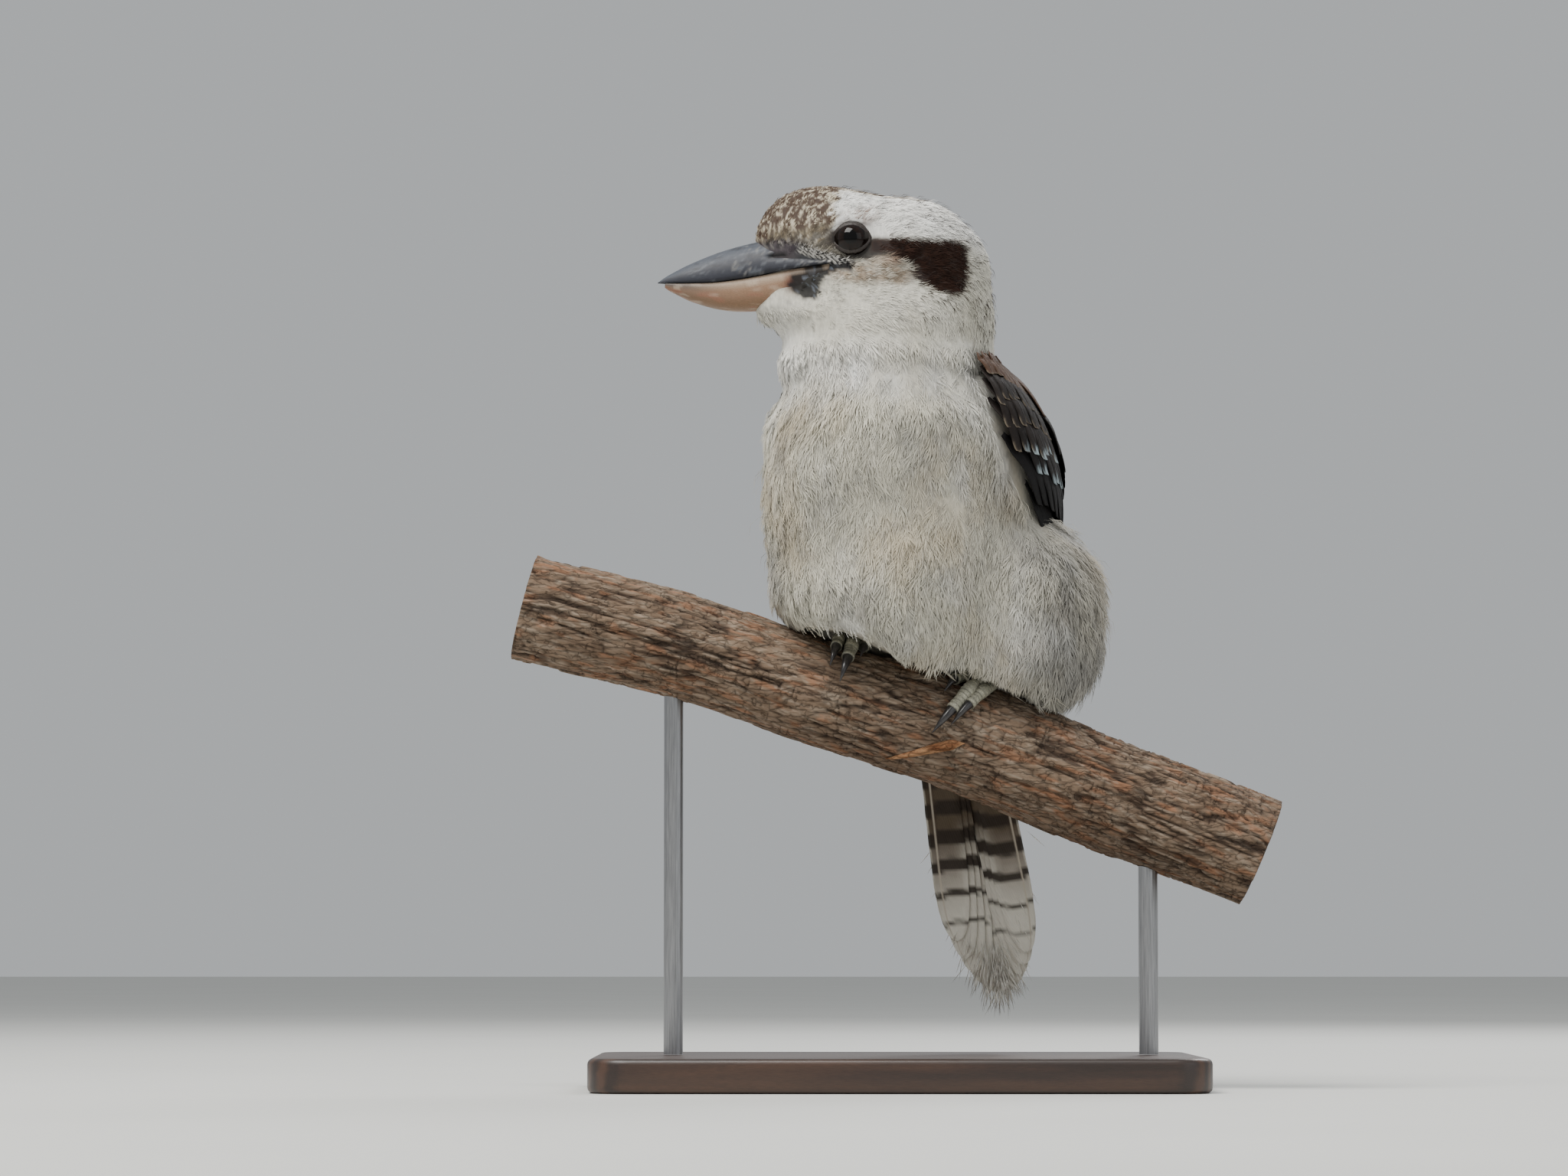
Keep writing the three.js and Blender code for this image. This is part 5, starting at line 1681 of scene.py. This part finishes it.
halves = {
    "upper": (upper_rings, upper_colours(upper_marks)),
    "lower": (lower_rings, lower_colours(lower_marks)),
}
for half, (rings, colours) in halves.items():
    horn_mesh = wrapped(f"bill_{half}_horn", ends_closed(rings), pad(colours))
    horn = new_object(f"bill_{half}_horn", horn_mesh, f"{half}_bill", horn_finish)
    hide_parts("bill_" + half)
    print(half, "bill faces", len(horn_mesh.polygons))

# %% [markdown]
# The eyes and their lids
#
# The eye is a very dark brown iris round a black pupil under a clear bulging cornea, set in a ring of bare
# dark skin. The eyeball is turned as rings round its own axis, which points to the side and a little
# forward, and its colours follow the distance from that axis. The lids are a wrinkled ring that rests on
# the eyeball.

# %% Make the eyes and lids
EYE_RADIUS = 8.0


def eye_frame(side):
    axis = np.array([0.15, side, 0.03])
    axis /= np.linalg.norm(axis)
    ahead = np.array([1.0, 0, 0]) - axis[0] * axis
    ahead /= np.linalg.norm(ahead)
    up = np.cross(axis, ahead) * side
    middle = EYE * np.array([1, side, 1])
    return middle, axis, ahead, up if up[2] > 0 else -up


def make_eye(side):
    middle, axis, ahead, up = eye_frame(side)
    polar = np.linspace(0, math.pi, 61)
    turn = np.linspace(0, 2 * math.pi, 64, endpoint=False)
    bulge = EYE_RADIUS + 0.55 * np.exp(-((polar / 0.62) ** 4))
    p, a = np.meshgrid(polar, turn, indexing="ij")
    r = bulge[:, None, None]
    around = np.cos(a)[..., None] * ahead + np.sin(a)[..., None] * up
    places = middle + r * (np.cos(p)[..., None] * axis + np.sin(p)[..., None] * around)
    rays = np.sin(a * 23 + 2 * np.sin(a * 7)) * 0.5 + 0.5
    iris = lay(linear(16, 9, 6), linear(34, 18, 11), 0.6 * (rays * smooth(p, 0.3, 0.5)).ravel())
    colours = lay(iris, linear(4, 3, 3), 1 - smooth(p, 0.33, 0.36).ravel())
    colours = lay(colours, linear(16, 10, 8), smooth(p, 0.66, 0.74).ravel())
    return wrapped("eyeball", out_of(HEAD, places), colours.reshape(*p.shape, 3))


print("eye of radius", EYE_RADIUS, "mm at", EYE)

# %% Shape the lids, and finish both


def make_lids(side):
    """The ring of bare skin: rings round its own core, with creases."""
    middle, axis, ahead, up = eye_frame(side)
    turn = np.linspace(0, 2 * math.pi, 97)[:-1]
    section = np.linspace(0, 2 * math.pi, 17)[:-1]
    long = 6.6 + 0.8 * np.maximum(0, np.cos(turn)) ** 6 + 0.7 * np.maximum(0, -np.cos(turn)) ** 6
    high = 5.5
    flat = np.hypot(long * np.cos(turn), high * np.sin(turn))
    sunk = np.sqrt(np.maximum(EYE_RADIUS**2 - np.minimum(flat, 7.6) ** 2, 0))
    core = middle + axis * (sunk - 0.35)[:, None]
    core = core + (long * np.cos(turn))[:, None] * ahead + (high * np.sin(turn))[:, None] * up
    outward = np.cos(turn)[:, None] * ahead + np.sin(turn)[:, None] * up
    thick = 0.62 * (1 + 0.06 * np.sin(turn * 17) + 0.05 * np.sin(turn * 31 + 1))
    s = section[None, :, None]
    t = thick[:, None, None]
    rings = core[:, None] + t * (1.7 * np.cos(s) * (outward[:, None] - 0.35 * axis) + 1.05 * np.sin(s) * axis)
    return out_of(HEAD, np.concatenate([rings, rings[:1]]))


eye_finish = Finish("eye_finish", 0.07, Specular_IOR_Level=0.25)
depth = eye_finish.noise(eye_finish.place(), 1500.0, 2.0)
depth_tone = eye_finish.ramp(depth, [(0.0, (0.9,) * 3), (1.0, (1.1,) * 3)])
eye_finish.colour(eye_finish.blend(1.0, eye_finish.attribute("marking"), depth_tone, "MULTIPLY"))

lid_finish = Finish("lid_finish", 0.5, Specular_IOR_Level=0.4)
creases = lid_finish.noise(lid_finish.place(), 1400.0, 4.0)
# Painted shade: the lids are laid darker where the creases sink.
lid_finish.colour(lid_finish.ramp(creases, [(0.3, linear(30, 25, 23)), (0.7, linear(62, 54, 50))]))
lid_finish.bump(creases, 0.00025, 0.6)

for side, name in ((1, "left"), (-1, "right")):
    eyeball = new_object("eyeball_" + name, make_eye(side), "eye", eye_finish)
    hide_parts("eye_" + name)
    new_object("lids_" + name, wrapped("lids_" + name, make_lids(side)), "scales", lid_finish)
print("eyes and lids made")

# %% [markdown]
# The feet
#
# Kingfishers have short legs and small weak feet, with three toes forward that are partly joined. Each toe
# follows the branch, swells at its joints and carries a row of scutes on top. The scutes are raised in the
# tube's own rings, so they show in the mesh as well as in the finish. The claws are separate tapered tubes.

# %% The toes' plans and paths
TOE_RADIUS = 2.85
CLAW_LENGTH = 12.0
GAP = 0.35
PLATE_DEPTH = 0.25
PLATE_LENGTH = 1.9
PEBBLE_TURNS = 12.6
TOE_BEND = 26
CLAW_BEND = 25.4
TUBE_AROUND = 28
TOE_STEPS = 90
SHANK_STEPS = 60
SHANK_LENGTH = 26

# A toe's shift along the branch, its reach round the branch in degrees, its slant along it, and its size.
Toe = namedtuple("Toe", "shift reach slant size")


def toe_plans(side):
    hub = 30.5 if side > 0 else -26.0
    slant = -10.0 if side > 0 else 0.0
    far = 18.0 if side > 0 else 0.0
    return hub, {
        "inner": Toe(side * -5.6, 24 + far * 0.6, slant * 0.8, 0.86),
        "middle": Toe(side * -1.0, 52 + far, slant, 1.0),
        "outer": Toe(side * 4.6, 41 + far, slant, 0.92),
        "hind": Toe(side * -2.0, -40.0, 0.0, 0.95),
    }


def toe_radius(plan, t):
    return TOE_RADIUS * plan.size * mix(1.12, 0.88, t) * (1 + 0.07 * np.cos(6 * math.pi * t))


def tube(path, radius, steps, around, relief=None):
    """Rings round a path of places and ways out, with a relief added to the radius."""
    t = np.linspace(0, 1, steps)
    place, out = path(t)
    way = path(t + 0.01)[0] - path(t - 0.01)[0]
    way /= np.linalg.norm(way, axis=1, keepdims=True)
    out = out - (out * way).sum(1, keepdims=True) * way
    out /= np.linalg.norm(out, axis=1, keepdims=True)
    across = np.cross(way, out)
    angle = np.linspace(0, 2 * math.pi, around, endpoint=False)
    size = np.broadcast_to(radius(t)[:, None], (steps, around))
    if relief is not None:
        size = size + relief(t[:, None], angle[None])
    spokes = np.cos(angle)[None, :, None] * across[:, None] + np.sin(angle)[None, :, None] * out[:, None]
    return place[:, None] + size[..., None] * spokes


def toe_path(hub, plan):
    def path(t):
        x = hub + mix(plan.shift * 0.3, plan.shift, smooth(t, 0, 0.5)) + plan.slant * t
        angle = np.radians(plan.reach * t)
        lift = toe_radius(plan, np.clip(t, 0, 1)) + GAP + PLATE_DEPTH
        return with_way_out(perch_point, x, angle, lift)

    return path


print("left toes", list(toe_plans(1)[1]))

# %% Plates, pebbles and claws


def scutes(length):
    """Overlapping plates on top of a toe, and small pebbles round its sides."""
    count = round(length / PLATE_LENGTH)

    def relief(t, angle):
        top = smooth(np.sin(angle), 0.1, 0.6)
        plate = (t * count) % 1
        step = 0.42 * plate**1.5 - 0.22 * np.exp(-((plate / 0.12) ** 2))
        pebbles = 0.10 * np.sin(t * count * PEBBLE_TURNS) * np.sin(angle * 9)
        return top * step + (1 - top) * pebbles

    return relief


def scute_colours(length, steps, sink):
    """Dark lines between the plates, pebbles round the sides, and painted shade: darker away from the side
    that faces out, and darker by sink at a toe's base under the belly.
    """
    t = np.linspace(0, 1, steps)[:, None]
    angle = np.linspace(0, 2 * math.pi, TUBE_AROUND, endpoint=False)[None]
    count = round(length / PLATE_LENGTH)
    plate = (t * count) % 1
    top = smooth(np.sin(angle), -0.1, 0.4)
    line = np.exp(-((np.minimum(plate, 1 - plate) / 0.13) ** 2)) * top
    pebble = (0.5 + 0.5 * np.sin(t * count * PEBBLE_TURNS) * np.sin(angle * 9)) * (1 - top)
    # Painted shade: the side facing out is lighter than the sides and underneath, and a toe's base under the
    # belly is darker by sink.
    shade = (
        (1 - 0.62 * line) * mix(0.62, 1.0, top) * (1 - 0.3 * pebble)
        * mix(1.0 - sink, 1.0, smooth(t, 0.0, 0.25))
    )
    return np.repeat(shade[..., None], 3, axis=2)


def claw_path(hub, plan, short):
    radius = float(toe_radius(plan, 1.0))
    sign = math.copysign(1, plan.reach)
    length = CLAW_LENGTH * (0.8 if short else 1) * plan.size

    def path(t):
        d = mix(-0.8, length, t)
        x = hub + plan.shift + plan.slant + plan.slant / 22 * d * 0.8
        angle = np.radians(plan.reach + sign * d * 180 / (math.pi * CLAW_BEND))
        lift = radius + GAP + PLATE_DEPTH + 1.6 * np.sin(math.pi * np.clip(t, 0, 1) * 0.8) - 1.5 * t * t
        return with_way_out(perch_point, x, angle, lift)

    return path, lambda t: mix(radius * 0.86, 0.12, t**1.25)


print("claws of about", CLAW_LENGTH, "mm")

# %% [markdown]
# Put each foot together
#
# The four toes and the shank of a foot are tubes that run into each other at the hub, so they are joined as
# one piece without a union: the overlaps lie inside. The claws stay pieces of their own, because each
# replaces its own solid.

# %% Make the feet and claws


def join_meshes(name, meshes):
    bm = bmesh.new()
    for mesh in meshes:
        bm.from_mesh(mesh)
    joined = bpy.data.meshes.new(name)
    bm.to_mesh(joined)
    bm.free()
    return joined


def make_foot(side):
    hub, plans = toe_plans(side)
    parts = []
    for plan in plans.values():
        length = abs(plan.reach) * math.pi / 180 * TOE_BEND
        rings = tube(
            toe_path(hub, plan), lambda t: toe_radius(plan, t), TOE_STEPS, TUBE_AROUND, scutes(length)
        )
        parts.append(wrapped("toe", ends_closed(rings), pad(scute_colours(length, TOE_STEPS, 0.25))))
    sole = perch_point(hub, 0.0, 3.4)
    ankle = out_of(BIRD, [-14, side * 25, 30])
    shank = tube(
        lambda t: (mix(sole, ankle, np.asarray(t)[:, None]), np.tile([0.0, -1.0, 0.0], (len(t), 1))),
        lambda t: 3.1 + 1.6 * smooth(t, 0.4, 1),
        SHANK_STEPS,
        TUBE_AROUND,
        scutes(SHANK_LENGTH),
    )
    parts.append(wrapped("shank", ends_closed(shank), pad(scute_colours(SHANK_LENGTH, SHANK_STEPS, 0.0))))
    return join_meshes("foot", parts)


scale_finish = Finish("scale_finish", 0.55, Specular_IOR_Level=0.4)
plates = scale_finish.node(
    "ShaderNodeTexVoronoi", {"Vector": scale_finish.place(), "Scale": 900.0}, feature="DISTANCE_TO_EDGE"
)
dust = scale_finish.noise(scale_finish.place(), 300.0, 4.0)
scale_tone = scale_finish.ramp(dust, [(0.25, linear(142, 140, 124)), (0.75, linear(196, 192, 172))])
scale_lines = scale_finish.ramp(plates.outputs["Distance"], [(0.0, (0.55,) * 3), (0.12, (1.0,) * 3)])
scale_tone = scale_finish.blend(1.0, scale_tone, scale_finish.attribute("marking"), "MULTIPLY")
scale_finish.colour(scale_finish.blend(1.0, scale_tone, scale_lines, "MULTIPLY"))
scale_finish.bump(plates.outputs["Distance"], 0.0003, 0.4)

claw_finish = Finish("claw_finish", 0.3, Coat_Weight=0.3, Coat_Roughness=0.2)
claw_lines = claw_finish.noise(claw_finish.place(), 700.0, 3.0)
claw_finish.colour(claw_finish.ramp(claw_lines, [(0.3, linear(18, 17, 18)), (0.75, linear(54, 50, 50))]))
claw_finish.bump(claw_lines, 0.0001, 0.3)

for side, name in ((1, "left"), (-1, "right")):
    foot = new_object("foot_skin_" + name, make_foot(side), "scales", scale_finish)
    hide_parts("foot_" + name)
    hub, plans = toe_plans(side)
    for toe, plan in plans.items():
        path, radius = claw_path(hub, plan, toe == "inner")
        claw_mesh = wrapped("horn", ends_closed(tube(path, radius, 28, 20)))
        horn = new_object("horn_" + name + "_" + toe, claw_mesh, "claw", claw_finish)
        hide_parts("claw_" + name + "_" + toe)
print("feet and claws made")

# %% [markdown]
# The branch
#
# The bark is stringy: long fibres and furrows run along the branch, broken by cross cracks, with a few
# rust-coloured patches where strips have come away. The bark is a real surface here, a wrapped grid raised
# by layered noise that is stretched along the branch. The two cut ends show rings and a darker rim of bark.

# %% Raise the bark
BARK_ROWS = 500
BARK_AROUND = 200
RIM_SHARE = 0.9


def bark_relief(x, angle):
    """Height of the bark in millimetres, how deep in a crack each place is, and where its fibres bend to."""
    flat = np.stack([x, 23 * np.cos(angle), 23 * np.sin(angle)], -1)
    sway = 3.0 * (layered(flat, (60, 14, 14), 61) - 0.5)
    bent = flat + np.stack([0 * x, sway, -sway], -1)
    ridge = 1 - np.abs(2 * layered(bent, (26, 2.6, 2.6), 62, 2) - 1)
    fine_ridge = 1 - np.abs(2 * layered(bent, (12, 1.2, 1.2), 64, 2) - 1)
    cracks = smooth(ridge, 0.84, 0.97) * smooth(noise(flat, (22, 8, 8), 66), 0.3, 0.5)
    hair = smooth(fine_ridge, 0.84, 0.98)
    cross = (
        smooth(1 - np.abs(2 * noise(flat, (2.2, 7, 7), 67) - 1), 0.90, 0.99)
        * smooth(noise(flat, 12, 68), 0.45, 0.6)
    )
    flakes = smooth(noise(bent, (11, 3.2, 3.2), 69), 0.52, 0.6)
    height = (
        0.9 * (layered(flat, (40, 8, 8), 70) - 0.5) + 0.6 * flakes - 1.0 * cracks - 0.4 * hair - 0.5 * cross
    )
    return height, np.clip(0.9 * cracks + 0.5 * hair + 0.55 * cross, 0, 1), bent


def bark_colours(crack, bent):
    paler = 1.5 * (layered(bent, (7, 1.5, 1.5), 71) - 0.46)
    colours = lay(linear(122, 103, 86), linear(150, 136, 120), paler)
    colours = lay(colours, linear(92, 72, 58), 1.8 * (layered(bent, (20, 6, 6), 72) - 0.5))
    colours = lay(colours, linear(146, 102, 74), 0.6 * smooth(layered(bent, (9, 2.2, 2.2), 73), 0.54, 0.68))
    colours = lay(colours, linear(172, 160, 144), 0.32 * smooth(noise(bent, (5, 0.8, 0.8), 75), 0.62, 0.78))
    # Painted shade: the bark is laid nearly black in its cracks, darker the deeper they go.
    return lay(colours, linear(46, 34, 28), crack * 0.85).reshape(BARK_ROWS, BARK_AROUND, 3)


def cut_end(ring, centre):
    """Discs from the middle of a cut end out to its bark, with the wood's rings and a darker rim."""
    shares = np.array([0.0, 0.12, 0.3, 0.5, 0.7, 0.86, 0.93, 0.97])
    discs = centre + (ring - centre)[None] * shares[:, None, None]
    wood = np.where(shares > RIM_SHARE, 0.0, 0.55 + 0.45 * np.sin(shares * 40))[:, None, None]
    tones = mix(linear(96, 70, 50), linear(178, 146, 108), wood) * np.ones((1, BARK_AROUND, 1))
    tones[shares > RIM_SHARE] = linear(84, 62, 48)
    return discs, tones


def make_bark():
    x = np.linspace(PERCH_LEFT, PERCH_RIGHT, BARK_ROWS)
    angle = np.linspace(0, 2 * math.pi, BARK_AROUND, endpoint=False)
    gx, ga = np.meshgrid(x, angle, indexing="ij")
    height, crack, bent = bark_relief(gx.ravel(), ga.ravel())
    rings = perch_point(gx.ravel(), ga.ravel(), height - 0.25).reshape(BARK_ROWS, BARK_AROUND, 3)
    (left_discs, left_tones), (right_discs, right_tones) = (
        cut_end(rings[end], perch_centre(x[end])) for end in (0, -1)
    )
    all_rings = np.concatenate([left_discs, rings, right_discs[::-1]])
    all_colours = np.concatenate([left_tones, bark_colours(crack, bent), right_tones[::-1]])
    return wrapped("bark", all_rings, all_colours)


bark_finish = Finish("bark_finish", 0.92, Specular_IOR_Level=0.2)
fibres = bark_finish.noise(bark_finish.place((0.12, 1, 1), (0, 0.33, 0)), 1400.0, 5.0, 0.7)
fibre_tone = bark_finish.ramp(fibres, [(0.25, (0.62,) * 3), (0.5, (0.95,) * 3), (0.8, (1.22,) * 3)])
bent_place = bark_finish.blend(
    0.006,
    bark_finish.place((0.15, 1, 1), (0, 0.33, 0)),
    bark_finish.noise(bark_finish.place(), 110.0, 3.0),
    "ADD",
)
flake_edges = bark_finish.node(
    "ShaderNodeTexVoronoi", {"Vector": bent_place, "Scale": 340.0}, feature="DISTANCE_TO_EDGE"
).outputs["Distance"]
# Painted shade: the bark is laid darker in the grooves along the edges of its flakes.
flake_tone = bark_finish.ramp(flake_edges, [(0.0, (0.45,) * 3), (0.07, (0.95,) * 3), (0.2, (1.22,) * 3)])
fibre_tone = bark_finish.blend(1.0, fibre_tone, flake_tone, "MULTIPLY")
bark_finish.colour(bark_finish.blend(1.0, bark_finish.attribute("marking"), fibre_tone, "MULTIPLY"))
bark_finish.bump(bark_finish.blend(1.0, fibres, flake_tone, "MULTIPLY"), 0.0007, 0.8)

bark = new_object("bark", make_bark(), "bark", bark_finish)
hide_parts("perch")
print("bark faces", len(bark.data.polygons))

# %% [markdown]
# A splinter
#
# Beside the feet one strip of bark has split away and curls over. Bark relief can't overhang, so the strip
# is a thin tapered tube of its own, bent over the branch's face and painted redder than the weathered bark
# round it.

# %% Split a strip from the bark
SPLINTER_STEPS = 60
SPLINTER_AROUND = 20


def splinter_path(t):
    x = mix(29.0, 1.5, t)
    angle = np.radians(mix(96.0, 142.0, t**1.2))
    lift = 0.5 + 0.5 * np.sin(math.pi * np.clip(t, 0, 1))
    return with_way_out(perch_point, x, angle, lift)


def splinter_radius(t):
    return 0.15 + 2.5 * np.clip(1 - t, 0, 1) ** 0.7 * smooth(t, 0, 0.22)


splinter_rings = tube(splinter_path, splinter_radius, SPLINTER_STEPS, SPLINTER_AROUND)
splinter_wood = layered(splinter_rings.reshape(-1, 3), (8, 1.2, 1.2), 77)
splinter_wood = splinter_wood.reshape(SPLINTER_STEPS, SPLINTER_AROUND, 1)
splinter_tones = mix(linear(116, 74, 48), linear(164, 124, 90), smooth(splinter_wood, 0.3, 0.7))
splinter = wrapped("bark_splinter", ends_closed(splinter_rings), pad(splinter_tones))
new_object("bark_splinter", splinter, "bark", bark_finish)
print("splinter faces", len(splinter.polygons))

# %% [markdown]
# The stand
#
# The stand only holds the branch up, so it stays plain: a dark satin board with softened edges, and two
# steel rods with collars. The board is a cube stretched to size whose upright and then level edges are
# bevelled, and the rods keep the part's own solids with a brushed finish.

# %% Make the board and finish the rods
BOARD = Vector((250.0, 166.0, 14.0))
CORNER_RADIUS = 16
EDGE_RADIUS = 2.5


def make_board():
    bm = bmesh.new()
    bmesh.ops.create_cube(bm, size=1.0)
    bmesh.ops.scale(bm, vec=BOARD * MM, verts=bm.verts[:])
    bmesh.ops.translate(bm, vec=(0, 0, BOARD.z / 2 * MM), verts=bm.verts[:])
    upright = [edge for edge in bm.edges if abs(edge.verts[0].co.z - edge.verts[1].co.z) > 0.01]
    bmesh.ops.bevel(
        bm, geom=upright, offset=CORNER_RADIUS * MM, segments=10, affect="EDGES", profile=0.5, material=-1
    )
    level = [e for e in bm.edges if abs(e.verts[0].co.z - e.verts[1].co.z) < 1e-6 and len(e.link_faces) == 2]
    rims = [e for e in level if any(abs(f.normal.z) > 0.9 for f in e.link_faces)]
    bmesh.ops.bevel(
        bm, geom=rims, offset=EDGE_RADIUS * MM, segments=4, affect="EDGES", profile=0.5, material=-1
    )
    mesh = bpy.data.meshes.new("board")
    bm.to_mesh(mesh)
    bm.free()
    mesh.polygons.foreach_set("use_smooth", [abs(face.normal.z) < 0.99 for face in mesh.polygons])
    return mesh


board_finish = Finish("board_finish", 0.42, Coat_Weight=0.3, Coat_Roughness=0.25)
wavy = board_finish.place((0.5, 6.0, 6.0))
grain_sizes = {"Vector": wavy, "Scale": 9.0, "Distortion": 7.0, "Detail": 3.0}
rings = board_finish.node("ShaderNodeTexWave", grain_sizes, bands_direction="Y")
pores = board_finish.noise(board_finish.place((1, 14, 14)), 260.0, 4.0)
board_tone = board_finish.ramp(rings.outputs["Fac"], [(0.1, linear(44, 30, 23)), (0.9, linear(74, 50, 36))])
pore_tone = board_finish.ramp(pores, [(0.35, (0.72,) * 3), (0.6, (1.0,) * 3)])
board_finish.colour(board_finish.blend(1.0, board_tone, pore_tone, "MULTIPLY"))
board_finish.rough(pores, 0.36, 0.55)
board_finish.bump(pores, 0.00015, 0.4)
board = new_object("board", make_board(), "stand_wood", board_finish)
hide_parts("stand_base")

steel_finish = Finish("steel_finish", 0.3, Metallic=1.0)
brushed = steel_finish.noise(steel_finish.place((1, 1, 0.03)), 2400.0, 3.0)
steel_finish.colour(steel_finish.ramp(brushed, [(0.2, linear(128, 128, 130)), (0.8, linear(176, 176, 178))]))
steel_finish.rough(brushed, 0.24, 0.42)
steel_finish.bump(brushed, 0.00005, 0.3)
for name in ("stand_rod_left", "stand_rod_right"):
    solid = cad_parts[name]
    solid.data.materials.clear()
    solid.data.materials.append(steel_finish.material)
print("stand made")

# %% [markdown]
# The last measure
#
# Both boxes, the solids' and the visual model's, are gathered, and the visual model's box is printed. The
# visual model has to stay within the solids' box and a little over for soft plumage.

# %% Gather both boxes and print the shown one
shown_low, shown_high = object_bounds()
sizes = {"cad": [list(solid_low), list(solid_high)], "shown": [list(shown_low), list(shown_high)]}
print("shown from", tuple(shown_low), "to", tuple(shown_high))
